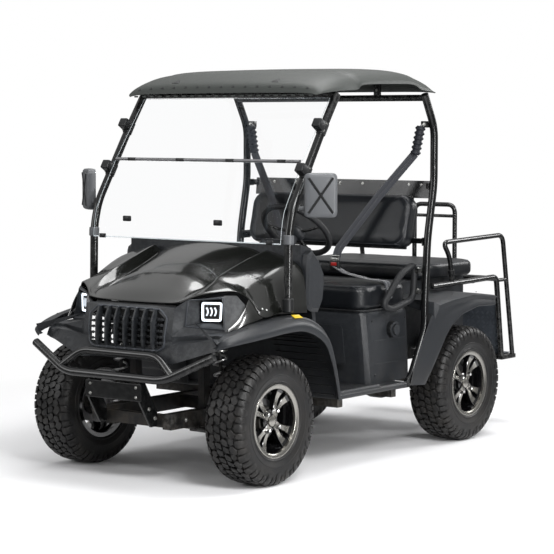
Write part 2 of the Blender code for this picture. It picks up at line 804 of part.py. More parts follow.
def headlamp(name, side):
    """A lamp body in its bay, with a raised light ring and three chevrons behind the lens."""
    face = lamp_place(side)
    body = plate(LAMP_OUTLINE, LAMP_DEPTH, face @ Matrix.Translation((0, 0, LAMP_DEPTH / 2)))
    piece = add_part(f"headlamp_{name}", body, "lamp")
    ring = plate(grown(LAMP_OUTLINE, -0.003), 0.010, face, [grown(LAMP_OUTLINE, -0.0135)])
    marks = []
    for count in range(CHEVRONS):
        x = 0.022 * (count - 1) - 0.010
        marks.append(plate(
            [(x, -0.020), (x + 0.008, -0.020), (x + 0.016, 0), (x + 0.008, 0.020), (x, 0.020),
             (x + 0.008, 0)],
            0.0095,
            face,
        ))
    return smooth(join(piece, ring, *marks))


# A front wheel arch seen from the side: place of its lower edge along Y and Z, height of the flare
# above it, the width that the flare reaches and where it ends inside
ARCH_FRONT = (
    (-0.325, 0.630, 0.012, 0.535, 0.5205),
    (-0.297, 0.646, 0.030, 0.575, 0.5205),
    (-0.217, 0.657, 0.045, 0.600, 0.5205),
    (-0.093, 0.670, 0.056, 0.620, 0.5205),
    (0.065, 0.683, 0.062, 0.628, 0.340),
    (0.180, 0.680, 0.066, 0.630, 0.300),
    (0.280, 0.648, 0.066, 0.630, 0.300),
    (0.350, 0.600, 0.058, 0.630, 0.300),
    (0.400, 0.520, 0.045, 0.626, 0.300),
    (0.440, 0.425, 0.030, 0.622, 0.300),
    (0.470, 0.332, 0.020, 0.618, 0.300),
)


def arch_rows(stations, side):
    """Rows of points across a flare, from the lip inwards, one row for each station."""
    rows = []
    count = len(stations)
    for index, (y, z, rise, reach, inner) in enumerate(stations):
        back = Vector(stations[max(index - 1, 0)][:2])
        ahead = Vector(stations[min(index + 1, count - 1)][:2])
        along = (ahead - back).normalized()
        normal = Vector((-along.y, along.x))
        row = []
        bend = max(reach - 0.060, (reach + inner) / 2)
        curl = ((0.0, reach), (0.45, reach + 0.002), (0.85, reach - 0.022), (1.0, bend), (1.0, inner))
        for share, x in curl:
            place = Vector((y, z)) + normal * rise * share
            row.append(Vector((side * x, place.x, place.y)))
        rows.append(row if side > 0 else row[::-1])
    return rows


def front_fender(name, side):
    """The flare over a front wheel with the liner behind it."""
    piece = add_part(f"front_fender_{name}", sheet(arch_rows(ARCH_FRONT, side)[::-1], SKIN), "matte_plastic")
    return smooth(piece)


# Cab


# The cheek at each end of the dash, seen from the side
CHEEK = (
    (0.308, 0.948), (0.316, 1.010), (0.352, 1.030), (0.400, 0.990), (0.438, 0.925), (0.440, 0.860),
    (0.428, 0.790), (0.400, 0.745), (0.340, 0.752), (0.308, 0.772),
)
DASH_HALF = 0.512
CHEEK_X = 0.552


def cheek(side):
    """A bulged end panel between the hood's rear edge and the door opening."""
    middle = Vector((0.370, 0.880))
    sections = []
    for x, share in ((DASH_HALF - 0.010, 1.0), (CHEEK_X - 0.012, 1.0), (CHEEK_X, 0.86)):
        line = [middle + (Vector(point) - middle) * share for point in CHEEK]
        sections.append([Vector((side * x, point.x, point.y)) for point in line])
    return loft(sections)


def dash():
    """The dash over its toe board, with the steering column, end panels and both pedals."""
    outline = [
        (0.306, 1.058), (0.380, 1.040), (0.436, 0.985), (0.446, 0.930), (0.430, 0.870), (0.412, 0.800),
        (0.432, 0.640), (0.470, 0.500), (0.520, FLOOR_TOP + FIT), (0.505, FLOOR_TOP + FIT),
        (0.455, 0.500), (0.415, 0.640), (0.380, 0.790), (0.340, 0.860), (0.306, 0.960),
    ]
    piece = add_part("dash", plate(outline, DASH_HALF * 2, SIDEWAYS), "matte_plastic")
    axis = Vector((0, math.cos(COLUMN_TILT), math.sin(COLUMN_TILT)))
    column = rod(WHEEL_CENTRE - axis * 0.270, WHEEL_CENTRE - axis * 0.046, 0.032, 12, 0.026)
    binnacle = box((0.190, 0.400, 0.985), (0.350, 0.470, 1.070), 0.016, 1)
    parts = [cheek(1), cheek(-1), column, binnacle]
    for x, low, high, half_width in ((0.330, 0.470, 0.540, 0.040), (0.160, 0.440, 0.560, 0.026)):
        parts.append(rod((x, 0.405, 0.690), (x, 0.524, (low + high) / 2), 0.009, 6))
        parts.append(box((x - half_width, 0.518, low), (x + half_width, 0.528, high)))
    return smooth(join(piece, *parts), 25)


def steering_wheel():
    """A three-spoke wheel whose own Z is the column's axis."""
    ring_radius, grip = 0.170, 0.0145
    ring = tube([(*polar(ring_radius, 18 * step), 0) for step in range(20)], grip, closed=True, resolution=1)
    turn = (math.pi / 2 - COLUMN_TILT, 0, 0)
    piece = add_part("steering_wheel", ring, "black_vinyl", WHEEL_CENTRE, (-turn[0], 0, 0))
    hub = turned(((0, 0.004), (0.040, 0.000), (0.052, -0.014), (0.030, -0.040), (0, -0.040)), 10)
    spokes = [
        tube([(*polar(0.030, angle), -0.014), (*polar(ring_radius, angle), 0)], 0.011, resolution=1)
        for angle in (90, -12, 192)
    ]
    join(piece, hub, *spokes)
    return smooth(piece)


def floor():
    """The floor pan with a raised rail along each sill, between the toe board and the seat base."""
    pan = box((-0.600, 0.497, FLOOR_TOP - 0.027), (0.600, 1.070, FLOOR_TOP), 0.008, 1)
    piece = add_part("floor", pan, "matte_plastic")
    sills = []
    for x in (-0.583, 0.583):
        low = (x - 0.014, 0.510, FLOOR_TOP - 0.010)
        sills.append(box(low, (x + 0.014, 0.840, FLOOR_TOP + 0.012), 0.006, 1))
    return smooth(join(piece, *sills))


def rounded_rectangle(half_width, front, rear, radius, steps=4):
    """Corner points of a rounded rectangle in plan, running round from the front right."""
    ring = []
    corners = (
        (half_width, rear, 0),
        (-half_width, rear, 90),
        (-half_width, front, 180),
        (half_width, front, 270),
    )
    for x, y, start in corners:
        centre = (x - math.copysign(radius, x), y - radius if y == rear else y + radius)
        for step in range(steps + 1):
            angle = math.radians(start + 90 * step / steps)
            ring.append((centre[0] + radius * math.cos(angle), centre[1] + radius * math.sin(angle)))
    return ring


def cushion(half_width, front, rear, low, high, edge=0.030, corner=0.075):
    """A seat pad: a rounded plan with a rolled upper and lower edge."""
    sections = []
    for inset, height in (
        (edge * 0.7, low),
        (0.0, low + edge),
        (0.0, high - edge),
        (edge * 0.35, high - edge * 0.3),
        (edge * 1.4, high),
    ):
        ring = rounded_rectangle(half_width - inset, front + inset, rear - inset, corner - inset * 0.6, 3)
        sections.append([Vector((x, y, height)) for x, y in ring])
    return loft(sections)


SEAT_BASE_TOP = 0.714
FILLER_Z = 0.610


def seat_base():
    """The moulded box under the front seat, open below."""
    sections = []
    for height, half_width, front, rear in (
        (FLOOR_TOP + FIT, 0.520, 0.850, 1.230),
        (0.500, 0.512, 0.845, 1.235),
        (0.690, 0.500, 0.835, 1.235),
        (SEAT_BASE_TOP, 0.490, 0.842, 1.228),
    ):
        ring = rounded_rectangle(half_width, front, rear, 0.055, 3)
        sections.append([Vector((x, y, height)) for x, y in ring])
    shape, rings = grid(sections, closed=True)
    shape.faces.new(rings[-1])
    base = mesh_of(shape, outward=False)
    piece = add_part("seat_base", base, "matte_plastic")
    wall = piece.modifiers.new("wall", "SOLIDIFY")
    wall.thickness = SKIN
    wall.offset = -1
    filler = rod((0.490, 1.060, FILLER_Z), (0.532, 1.060, FILLER_Z), 0.040, 10)
    cap = rod((0.480, 1.060, FILLER_Z), (0.540, 1.060, FILLER_Z), 0.026, 8)
    join(piece, filler, cap)
    return smooth(piece)


def seat_cushion():
    pad = cushion(0.510, 0.805, 1.240, SEAT_BASE_TOP + FIT, SEAT_TOP)
    return smooth(add_part("seat_cushion", pad, "black_vinyl"), 50)


def upright_pad(half_width, low, high, thickness, foot_y, lean, facing):
    """A back pad: a crowned slab leaning back; facing is -1 forwards and +1 rearwards."""
    mesh = cushion(half_width, 0.0, high - low, 0.0, thickness, 0.026, 0.070)
    upright = Matrix(((1, 0, 0, 0), (0, 0, facing, 0), (0, 1, 0, 0), (0, 0, 0, 1)))
    place = Matrix.Translation((0, foot_y, low)) @ Matrix.Rotation(-lean, 4, "X") @ upright
    mesh.transform(place)
    if place.determinant() < 0:
        mesh.flip_normals()
    return mesh


BACK_LEAN = math.radians(14)
BOARD = 0.012
BACK_FOOT = (1.262, 0.975)
REAR_BACK_LEAN = math.radians(10)
REAR_BACK_FOOT = (1.338, 0.985)
PILLAR_INSIDE = PILLAR_X - TUBE - FIT


def seat_backs():
    """The two back pads, facing forwards and rearwards."""
    pad = upright_pad(0.505, BACK_FOOT[1], 1.262, 0.085, BACK_FOOT[0], BACK_LEAN, -1)
    smooth(add_part("seat_back", pad, "black_vinyl"), 50)
    rear = upright_pad(0.435, REAR_BACK_FOOT[1], 1.262, 0.075, REAR_BACK_FOOT[0], REAR_BACK_LEAN, 1)
    smooth(add_part("rear_seat_back", rear, "black_vinyl"), 50)


def seat_back_frame():
    """The steel frame between the rear pillars that carries both back pads."""
    y, z = BACK_FOOT
    slope = math.tan(BACK_LEAN)
    back = [(y + FIT * 2, z + 0.012), (y + FIT * 2 + 0.276 * slope, z + 0.276)]
    (low_y, low_z), (high_y, high_z) = back
    outline = [(low_y, low_z), (low_y + BOARD, low_z), (high_y + BOARD, high_z), (high_y, high_z)]
    board = plate(outline, 0.900, SIDEWAYS)
    board.transform(Matrix.Translation((0, BOARD * slope, 0)))
    piece = add_part("seat_back_frame", board, "black_steel")
    bar = [(1.336, 1.240), (1.341, 1.240), (1.349, 1.322), (1.376, 1.322), (1.376, 1.326), (1.344, 1.326)]
    parts = [plate(bar, 1.080, SIDEWAYS)]
    for side in (-1, 1):
        x = side * (PILLAR_INSIDE - 0.002)
        place = Matrix.Translation((x, 0, 0)) @ SIDEWAYS
        parts.append(plate([(1.300, 1.285), (1.345, 1.285), (1.345, 1.318), (1.300, 1.318)], 0.004, place))
        parts.append(box((side * 0.545 - 0.020, 1.332, 1.288), (side * 0.545 + 0.0165, 1.352, 1.316)))
        parts.append(plate([(1.245, 1.010), (1.315, 1.010), (1.315, 1.050), (1.245, 1.050)], 0.004, place))
        parts.append(box((side * 0.300 - 0.015, 1.290, 1.000), (side * 0.300 + 0.015, 1.3405, 1.060)))
        parts.append(box((side * 0.300 - 0.015, 1.333, 1.200), (side * 0.300 + 0.015, 1.3745, 1.240)))
    low_bar = box((-PILLAR_INSIDE, 1.283, 1.018), (PILLAR_INSIDE, 1.308, 1.043))
    return join(piece, low_bar, *parts)


# Cage and roof

# The side view of the front pillar and of the rear pillar, foot to top, along Y and Z
FRONT_PILLAR = ((0.112, 0.772), (0.119, 1.120), (0.150, 1.235), (0.370, 1.579), (0.484, 1.742))
REAR_PILLAR = (
    (1.086, 0.345), (1.130, 0.392), (1.243, 0.600), (1.240, 0.740), (1.262, 1.050), (1.316, 1.310),
    (1.316, 1.590), (1.226, 1.752),
)


# The roof's half sections, front to back: along Y, half width, height of the lip and of the crown
ROOF_SECTIONS = (
    (0.353, 0.560, 1.739, 1.752),
    (0.385, 0.585, 1.748, 1.800),
    (0.500, 0.605, 1.760, 1.845),
    (0.610, 0.613, 1.766, 1.862),
    (0.670, 0.616, 1.790, 1.868),
    (0.960, 0.620, 1.798, 1.877),
    (1.080, 0.620, 1.795, 1.870),
    (1.150, 0.619, 1.772, 1.860),
    (1.230, 0.616, 1.766, 1.830),
    (1.262, 0.612, 1.764, 1.790),
    (1.290, 0.606, 1.762, 1.770),
)
ROOF_SHAPE = ((0.0, 1.0), (0.30, 0.985), (0.58, 0.95), (0.80, 0.84), (0.92, 0.62), (0.985, 0.25), (1.0, 0.0))


def between(stations, place):
    """Values read along a table whose first column is the place."""
    for near, far in zip(stations, stations[1:]):
        if near[0] <= place <= far[0]:
            share = (place - near[0]) / (far[0] - near[0])
            return [a + (b - a) * share for a, b in zip(near, far)]
    raise ValueError(place)


def roof_height(x, y):
    """The roof's outer surface above a point."""
    _, half_width, lip, crown = between(ROOF_SECTIONS, y)
    _, height = between(ROOF_SHAPE, abs(x) / half_width)
    return lip + (crown - lip) * height


def roof_posts(y, low):
    """Two short posts that carry the roof on a bar."""
    reach = 0.318
    top = min(roof_height(reach, y - 0.009), roof_height(reach, y + 0.009)) - SKIN - 0.003
    return [
        box((x - 0.018, y - 0.008, low), (x + 0.018, y + 0.008, top))
        for x in (-0.300, 0.300)
    ]


# Where the screen clamps grip the front pillars, along Y and Z, with the direction up the pillar
CLAMPS = ((0.246, 1.385), (0.375, 1.586))
PILLAR_RAKE = Vector((0, 0.220, 0.344)).normalized()


def clamp(side, y, z):
    """A round clamp with its jaw reaching forwards to the screen."""
    centre = Vector((side * PILLAR_X, y, z))
    across = Vector((0, PILLAR_RAKE.z, -PILLAR_RAKE.y))
    sleeve = rod(centre - PILLAR_RAKE * 0.032, centre + PILLAR_RAKE * 0.032, 0.0225, 8)
    half = PILLAR_X - SCREEN_HALF - FIT
    jaw = box((-half, -0.026, -0.022), (half, 0.026, 0.022))
    jaw.transform(
        Matrix.Translation(centre - across * 0.034)
        @ PILLAR_RAKE.to_track_quat("Z", "Y").to_matrix().to_4x4()
    )
    return sleeve, jaw


def front_hoop():
    """Both front pillars with their top bar, feet and screen clamps."""
    parts = []
    for side in (1, -1):
        parts.append(tube([(side * PILLAR_X, y, z) for y, z in FRONT_PILLAR], TUBE, 0.06, 2))
        parts.append(rod((side * PILLAR_X, 0.112, 0.768), (side * PILLAR_X, 0.112, 0.830), 0.027, 8))
        parts.append(rod((side * PILLAR_X, 0.117, 1.070), (side * PILLAR_X, 0.119, 1.112), 0.024, 8))
        for y, z in CLAMPS:
            parts.extend(clamp(side, y, z))
    piece = add_part("front_hoop", parts[0], "black_steel")
    bar = tube([(-PILLAR_X, 0.486, 1.744), (PILLAR_X, 0.486, 1.744)], 0.014)
    return smooth(join(piece, *parts[1:], bar, *roof_posts(0.486, 1.744)))


# The hip restraint beside the seat, seen from the side
HIP_LOOP = ((0.925, 0.735), (1.080, 0.880), (1.205, 0.925), (1.195, 0.752), (1.000, 0.712))
HIP_X = 0.545


def hip_restraint(side):
    """The loop beside the seat and its two clamps on the pillar."""
    x = side * HIP_X
    loop = tube([(x, y, z) for y, z in HIP_LOOP], 0.0165, 0.06, 2, True, 1)
    clamps = []
    for low, high in ((0.775, 0.797), (0.880, 0.902)):
        inner, outer = sorted((x, side * (PILLAR_X - 0.004)))
        clamps.append(box((inner, 1.190, low), (outer, 1.250, high)))
    return [loop, *clamps]


def rear_hoop():
    """Both rear pillars with the bar across their tops and the hip restraints clamped to them."""
    parts = [
        tube([(side * PILLAR_X, y, z) for y, z in REAR_PILLAR], TUBE, 0.07, 2) for side in (1, -1)
    ]
    piece = add_part("rear_hoop", parts[0], "black_steel")
    bar = tube([(-PILLAR_X, 1.234, 1.735), (PILLAR_X, 1.234, 1.735)], 0.016)
    hips = hip_restraint(1) + hip_restraint(-1)
    return smooth(join(piece, parts[1], bar, *roof_posts(1.234, 1.735), *hips))


def roof():
    """The moulded roof, a crowned shell with a turned-down lip."""
    rows = []
    for y, half_width, lip, crown in ROOF_SECTIONS:
        half = [(share * half_width, lip + (crown - lip) * height) for share, height in ROOF_SHAPE]
        rows.append(mirrored_row(half, y))
    return smooth(add_part("roof", sheet(rows, SKIN), "roof_plastic"))


# The screen's side view, just ahead of the front pillars
SCREEN_LOW = ((0.086, 1.070), (0.092, 1.120), (0.104, 1.185), (0.130, 1.245), (0.246, 1.432))
SCREEN_HIGH = ((0.256, 1.446), (0.462, 1.728))


def screen(name, line):
    """One clear panel of the fold-down screen."""
    rows = [[Vector((x, y, z)) for x in (-SCREEN_HALF, SCREEN_HALF)] for y, z in line]
    return add_part(name, sheet(rows, 0.004), "clear_sheet")


# How far each mirror is turned towards the driver
MIRROR_TURN = math.radians(38)


def mirror(name, side):
    """A side mirror on its arm."""
    centre = Vector((side * 0.696, 0.205, 1.290))
    shell = box((-0.075, -0.022, -0.100), (0.075, 0.022, 0.100), 0.018)
    shell.transform(Matrix.Translation(centre) @ Matrix.Rotation(side * MIRROR_TURN, 4, "Z"))
    piece = add_part(f"mirror_{name}", shell, "mirror_grey")
    foot = (side * (PILLAR_X + TUBE + 0.007), 0.158, 1.232)
    arm = tube([foot, (side * 0.690, 0.200, 1.240)], 0.011, resolution=1)
    return smooth(join(piece, arm))


BELT_TOP = (0.528, 1.280, 1.597)
BELT_BOOT_END = (0.501, 1.272, 1.456)
BELT_WIDTH = 0.046
BELT_THICKNESS = 0.004
# The webbing from the boot down to the buckle, and from the buckle over the seat to the anchor
SHOULDER_STRAP = ((0.501, 1.270, 1.462), (0.330, 1.190, 1.240), (0.165, 1.092, 0.985), (0.156, 1.078, 0.915))
LAP_STRAP = (
    (0.160, 1.076, 0.900),
    (0.230, 1.062, 0.872),
    (0.400, 1.025, 0.851),
    (0.516, 1.010, 0.848),
    (0.516, 1.030, 0.760),
)


def strap(path, side, wide_way):
    """Flat webbing along a path; its width lies as near as it can to the given direction."""
    sections = []
    count = len(path)
    points = [Vector((side * x, y, z)) for x, y, z in path]
    for index, point in enumerate(points):
        along = (points[min(index + 1, count - 1)] - points[max(index - 1, 0)]).normalized()
        wide = Vector((side * wide_way[0], wide_way[1], wide_way[2]))
        wide = (wide - along * wide.dot(along)).normalized() * BELT_WIDTH / 2
        thick = along.cross(wide).normalized() * BELT_THICKNESS / 2
        near, far = point + thick, point - thick
        sections.append([near + wide, near - wide, far - wide, far + wide])
    return loft(sections)


def seat_belt(name, side):
    """The corrugated boot at the pillar with its anchor, the webbing and its buckle."""
    top, end = Vector(BELT_TOP), Vector(BELT_BOOT_END)
    top.x, end.x = side * top.x, side * end.x
    length = (end - top).length
    profile = [(0, length)]
    folds = 6
    for fold in range(folds):
        for share, radius in ((0.0, 0.018), (0.5, 0.026)):
            profile.append((radius, length * (1 - (fold + share) / folds)))
    profile += [(0.018, 0), (0, 0)]
    place = Matrix.Translation(end) @ (top - end).to_track_quat("Z", "Y").to_matrix().to_4x4()
    piece = add_part(f"seat_belt_{name}", turned(profile, 6, place), "webbing")
    inner, outer = sorted((side * 0.520, side * PILLAR_INSIDE))
    anchor = box((inner, 1.290, 1.590), (outer, 1.318, 1.622))
    link = rod((side * 0.528, 1.281, 1.590), (side * 0.530, 1.304, 1.606), 0.010, 6)
    webbing = (strap(SHOULDER_STRAP, side, (0.86, 0, -0.51)), strap(LAP_STRAP, side, (0, 1, 0)))
    buckle = moved(box((-0.030, -0.012, -0.040), (0.030, 0.012, 0.040)), side * 0.156, 1.078, 0.918)
    return smooth(join(piece, anchor, link, *webbing, buckle))


# Rear end

# A rear wheel arch: its edge along Y and Z, and the outer edge of the panel at the same station
ARCH_REAR = (
    ((1.185, 0.334), (1.076, 0.340)),
    ((1.250, 0.400), (1.110, 0.430)),
    ((1.315, 0.475), (1.190, 0.560)),
    ((1.375, 0.548), (1.268, 0.670)),
    ((1.435, 0.606), (1.268, 0.742)),
    ((1.530, 0.652), (1.400, 0.752)),
    ((1.680, 0.682), (1.600, 0.762)),
    ((1.845, 0.680), (1.850, 0.734)),
)
REAR_INNER_X = 0.361


def rear_fender(name, side):
    """The panel round a rear wheel, with its top shelf."""
    rows = []
    for index, (edge, outer) in enumerate(ARCH_REAR):
        edge, outer = Vector(edge), Vector(outer)
        middle = edge.lerp(outer, 0.5)
        inner_x = REAR_INNER_X if index > 3 else 0.609
        row = [
            Vector((side * 0.604, edge.x, edge.y)),
            Vector((side * 0.628, *(edge.lerp(outer, 0.06)))),
            Vector((side * 0.622, *middle)),
            Vector((side * 0.613, *(edge.lerp(outer, 0.93)))),
            Vector((side * inner_x, *outer)),
        ]
        rows.append(row if side > 0 else row[::-1])
    return smooth(add_part(f"rear_fender_{name}", sheet(rows[::-1], SKIN), "matte_plastic"))


DECK_TOP = 0.815


def rear_body():
    """The box over the engine that carries the rear seat, open below."""
    shape = bmesh.new()
    half, front, rear, low = 0.360, 1.262, 1.960, 0.480
    bmesh.ops.create_cube(shape, size=1)
    bmesh.ops.scale(shape, vec=(half * 2, rear - front, DECK_TOP - low), verts=shape.verts)
    bmesh.ops.translate(shape, vec=(0, (front + rear) / 2, (DECK_TOP + low) / 2), verts=shape.verts)
    floor_faces = [face for face in shape.faces if face.normal.z < -0.5]
    bmesh.ops.delete(shape, geom=floor_faces, context="FACES")
    piece = add_part("rear_body", mesh_of(shape, outward=False), "matte_plastic")
    wall = piece.modifiers.new("wall", "SOLIDIFY")
    wall.thickness = SKIN
    wall.offset = -1
    rests = []
    for x, y in ((-0.280, 1.500), (0.280, 1.500), (-0.280, 1.920), (0.280, 1.920)):
        low = (x - 0.030, y - 0.020, DECK_TOP - 0.002)
        rests.append(box(low, (x + 0.030, y + 0.020, DECK_TOP + 0.005 - FIT)))
    return join(piece, *rests)


def rear_seat_cushion():
    """The rear-facing seat pad, which lifts about its front lower edge."""
    mesh = cushion(0.432, 0.0, 0.540, 0.0, 0.086, 0.026)
    return smooth(add_part("rear_seat_cushion", mesh, "black_vinyl", (0, 1.460, DECK_TOP + 0.005)), 50)


KIT_TUBE = 0.0145
HOOP_X = 0.130
HOOP_Y = 2.240


def rear_seat_frame():
    """The welded tube set behind: side tubes, legs, rails and the middle grab hoop."""
    x = REAR_KIT_X
    base = tube([(x, 1.500, 0.788), (x, 2.130, 0.800), (x, 2.190, 0.372)], KIT_TUBE, 0.05, 3, resolution=1)
    piece = add_part("rear_seat_frame", base, "black_steel")
    parts = [
        tube([(-x, 1.500, 0.788), (-x, 2.130, 0.800), (-x, 2.190, 0.372)], KIT_TUBE, 0.05, 3, resolution=1),
        tube([(-x, 2.120, 0.790), (x, 2.120, 0.790)], KIT_TUBE, resolution=1),
    ]
    for y in (1.580, 1.900):
        for side in (-1, 1):
            inner, outer = sorted((side * 0.3603, side * x))
            parts.append(box((inner, y - 0.012, 0.779), (outer, y + 0.012, 0.797)))
    for side in (-1, 1):
        sx = side * x
        rail = [(sx, 1.690, 0.790), (sx, 1.665, 0.930), (sx, 1.600, 1.006), (sx, 2.190, 1.020),
                (sx, 2.305, 0.372)]
        parts.append(tube(rail, 0.0125, 0.06, 3, resolution=1))
        parts.append(tube([(sx, 2.135, 0.780), (sx, 2.235, 0.780)], 0.010, resolution=1))
    hoop = [(-HOOP_X, HOOP_Y, 0.372), (-HOOP_X, HOOP_Y, 1.170), (HOOP_X, HOOP_Y, 1.170),
            (HOOP_X, HOOP_Y, 0.372)]
    parts.append(tube(hoop, 0.0125, 0.06, 3, resolution=1))
    parts.append(tube([(-HOOP_X, HOOP_Y, 1.108), (HOOP_X, HOOP_Y, 1.108)], 0.009, resolution=1))
    parts.append(box((-x - 0.014, 2.176, 0.352), (x + 0.014, 2.320, 0.3745)))
    return smooth(join(piece, *parts))


def footrest():
    """The tread plate under the rear feet, bent up at its front into a riser."""
    line = [(2.322, 0.3775), (2.212, 0.3775), (2.152, 0.655)]
    rows = [[Vector((x, y, z)) for x in (-0.440, 0.440)] for y, z in line]
    piece = add_part("footrest", sheet(rows, 0.003), "tread_plate")
    for side in (-1, 1):
        cut(piece, rod((side * HOOP_X, HOOP_Y, 0.300), (side * HOOP_X, HOOP_Y, 0.450), 0.0145, 12))
    return piece


def build():
    main_frame()
    front_suspension()
    rear_axle()
    engine()
    for name, side in (("left", 1), ("right", -1)):
        wheel(f"front_{name}", FRONT_TRACK_HALF, 0, side)
        wheel(f"rear_{name}", REAR_TRACK_HALF, WHEELBASE, side)
        knuckle(name, side)
        headlamp(name, side)
        front_fender(name, side)
        mirror(name, side)
        seat_belt(name, side)
        rear_fender(name, side)
    steering_rack()
    front_bumper()
    hood()
    front_cowl()
    dash()
    steering_wheel()
    floor()
    seat_base()
    seat_cushion()
    seat_backs()
    seat_back_frame()
    front_hoop()
    rear_hoop()
    roof()
    screen("windscreen_lower", SCREEN_LOW)
    screen("windscreen_upper", SCREEN_HIGH)
    rear_body()
    rear_seat_cushion()
    rear_seat_frame()
    footrest()


build()
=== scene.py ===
"""Looks of the lifted golf cart: its panels, wheels, seats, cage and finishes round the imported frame.

Pieces are modelled in metres with Y read from the front axle, as the cart is drawn, and
piece() shifts each finished mesh into the frame. The cart faces -Y and its left side is +X.
"""

import json
import math

import bmesh
import bpy
from mathutils import Matrix, Vector
from mathutils.bvhtree import BVHTree
from mathutils.kdtree import KDTree


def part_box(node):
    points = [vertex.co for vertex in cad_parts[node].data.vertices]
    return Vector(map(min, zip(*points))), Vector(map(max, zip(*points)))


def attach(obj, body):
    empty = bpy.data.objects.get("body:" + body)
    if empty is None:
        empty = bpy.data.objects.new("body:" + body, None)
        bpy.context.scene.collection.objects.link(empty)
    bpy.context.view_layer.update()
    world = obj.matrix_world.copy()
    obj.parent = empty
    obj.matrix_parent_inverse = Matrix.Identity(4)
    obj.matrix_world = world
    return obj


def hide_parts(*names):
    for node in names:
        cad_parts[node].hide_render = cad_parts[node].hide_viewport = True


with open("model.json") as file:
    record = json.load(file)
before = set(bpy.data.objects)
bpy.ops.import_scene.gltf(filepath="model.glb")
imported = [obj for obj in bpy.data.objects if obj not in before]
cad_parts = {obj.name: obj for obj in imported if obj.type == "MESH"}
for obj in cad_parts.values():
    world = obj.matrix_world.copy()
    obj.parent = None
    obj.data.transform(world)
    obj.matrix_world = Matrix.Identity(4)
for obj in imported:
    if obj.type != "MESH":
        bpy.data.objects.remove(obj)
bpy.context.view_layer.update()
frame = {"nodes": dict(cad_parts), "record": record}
NODES = frame["nodes"]


def middle_of(node):
    low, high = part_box(node)
    return (low + high) / 2


FRONT_AXLE_Y = middle_of("tyre_front_left").y
WHEELBASE = middle_of("tyre_rear_left").y - FRONT_AXLE_Y
WHEEL_Z = middle_of("tyre_front_left").z
TO_FRAME = Matrix.Translation((0, FRONT_AXLE_Y, 0))
SIDES = (("left", 1), ("right", -1))


def at(x, y=0.0, z=0.0):
    return Matrix.Translation((x, y, z))


def spin(angle, axis):
    return Matrix.Rotation(angle, 4, axis)


def leaning(degrees, axis):
    return spin(math.radians(degrees), axis)


def handed(side):
    """Mirrors across the cart when the side is -1."""
    return Matrix.Scale(side, 4, (1, 0, 0))


OUTBOARD = spin(math.pi / 2, "Y")
# Turns a plate so that its outline lies in Y and Z and its thickness along X
SIDEWAYS = Matrix(((0, 0, 1, 0), (1, 0, 0, 0), (0, 1, 0, 0), (0, 0, 0, 1)))
# Turns a plate so that its outline lies in X and Z and its thickness along Y
FACING = Matrix(((1, 0, 0, 0), (0, 0, 1, 0), (0, 1, 0, 0), (0, 0, 0, 1)))


# Shader helpers


def node(tree, kind, inputs=None, **settings):
    """A shader or geometry node with its settings, its inputs linked or given a value."""
    made = tree.nodes.new(kind)
    for key, value in settings.items():
        setattr(made, key, value)
    for key, value in (inputs or {}).items():
        if isinstance(value, bpy.types.NodeSocket):
            tree.links.new(value, made.inputs[key])
        else:
            made.inputs[key].default_value = value
    return made


def group(name, inputs, outputs):
    """An empty shader group with its sockets, and its input and output nodes."""
    tree = bpy.data.node_groups.new(name, "ShaderNodeTree")
    for label, kind, value in inputs:
        socket = tree.interface.new_socket(label, in_out="INPUT", socket_type=kind)
        if value is not None:
            socket.default_value = value
    for label, kind in outputs:
        tree.interface.new_socket(label, in_out="OUTPUT", socket_type=kind)
    return tree, tree.nodes.new("NodeGroupInput").outputs, tree.nodes.new("NodeGroupOutput").inputs


FLOAT, VECTOR = "NodeSocketFloat", "NodeSocketVector"


def ranged(tree, value, low, high, to_low=0.0, to_high=1.0):
    made = node(
        tree, "ShaderNodeMapRange",
        {"Value": value, "From Min": low, "From Max": high, "To Min": to_low, "To Max": to_high},
    )
    return made.outputs["Result"]


def maths(tree, operation, first, second=0.0):
    return node(tree, "ShaderNodeMath", {0: first, 1: second}, operation=operation).outputs[0]


def noise_of(tree, place, scale, detail=3.0, rough=0.5):
    made = node(tree, "ShaderNodeTexNoise", {"Vector": place, "Scale": scale, "Detail": detail, "Roughness": rough})
    return made.outputs["Fac"]


def tone_group():
    """Slow and fine changes of tone over a surface."""
    tree, given, out = group(
        "tone", [("Place", VECTOR, None), ("Scale", FLOAT, 6.0), ("Amount", FLOAT, 0.1)], [("Factor", FLOAT)]
    )
    slow = noise_of(tree, given["Place"], given["Scale"], 4.0)
    fine = noise_of(tree, given["Place"], maths(tree, "MULTIPLY", given["Scale"], 9.0), 2.0)
    mixed = maths(tree, "ADD", maths(tree, "MULTIPLY", slow, 0.7), maths(tree, "MULTIPLY", fine, 0.3))
    swing = maths(tree, "MULTIPLY", maths(tree, "SUBTRACT", mixed, 0.5), maths(tree, "MULTIPLY", given["Amount"], 4.0))
    tree.links.new(maths(tree, "ADD", swing, 1.0), out["Factor"])
    return tree


def grain_group():
    """The fine pebbling of moulded plastic, powder coat or vinyl, as a height."""
    tree, given, out = group(
        "grain", [("Place", VECTOR, None), ("Scale", FLOAT, 900.0), ("Crease", FLOAT, 0.5)], [("Height", FLOAT)]
    )
    cells = node(
        tree, "ShaderNodeTexVoronoi", {"Vector": given["Place"], "Scale": given["Scale"]}, feature="SMOOTH_F1"
    ).outputs["Distance"]
    fine = noise_of(tree, given["Place"], given["Scale"], 2.0)
    crease = maths(tree, "MULTIPLY", cells, given["Crease"])
    tree.links.new(maths(tree, "ADD", crease, maths(tree, "MULTIPLY", fine, 0.6)), out["Height"])
    return tree


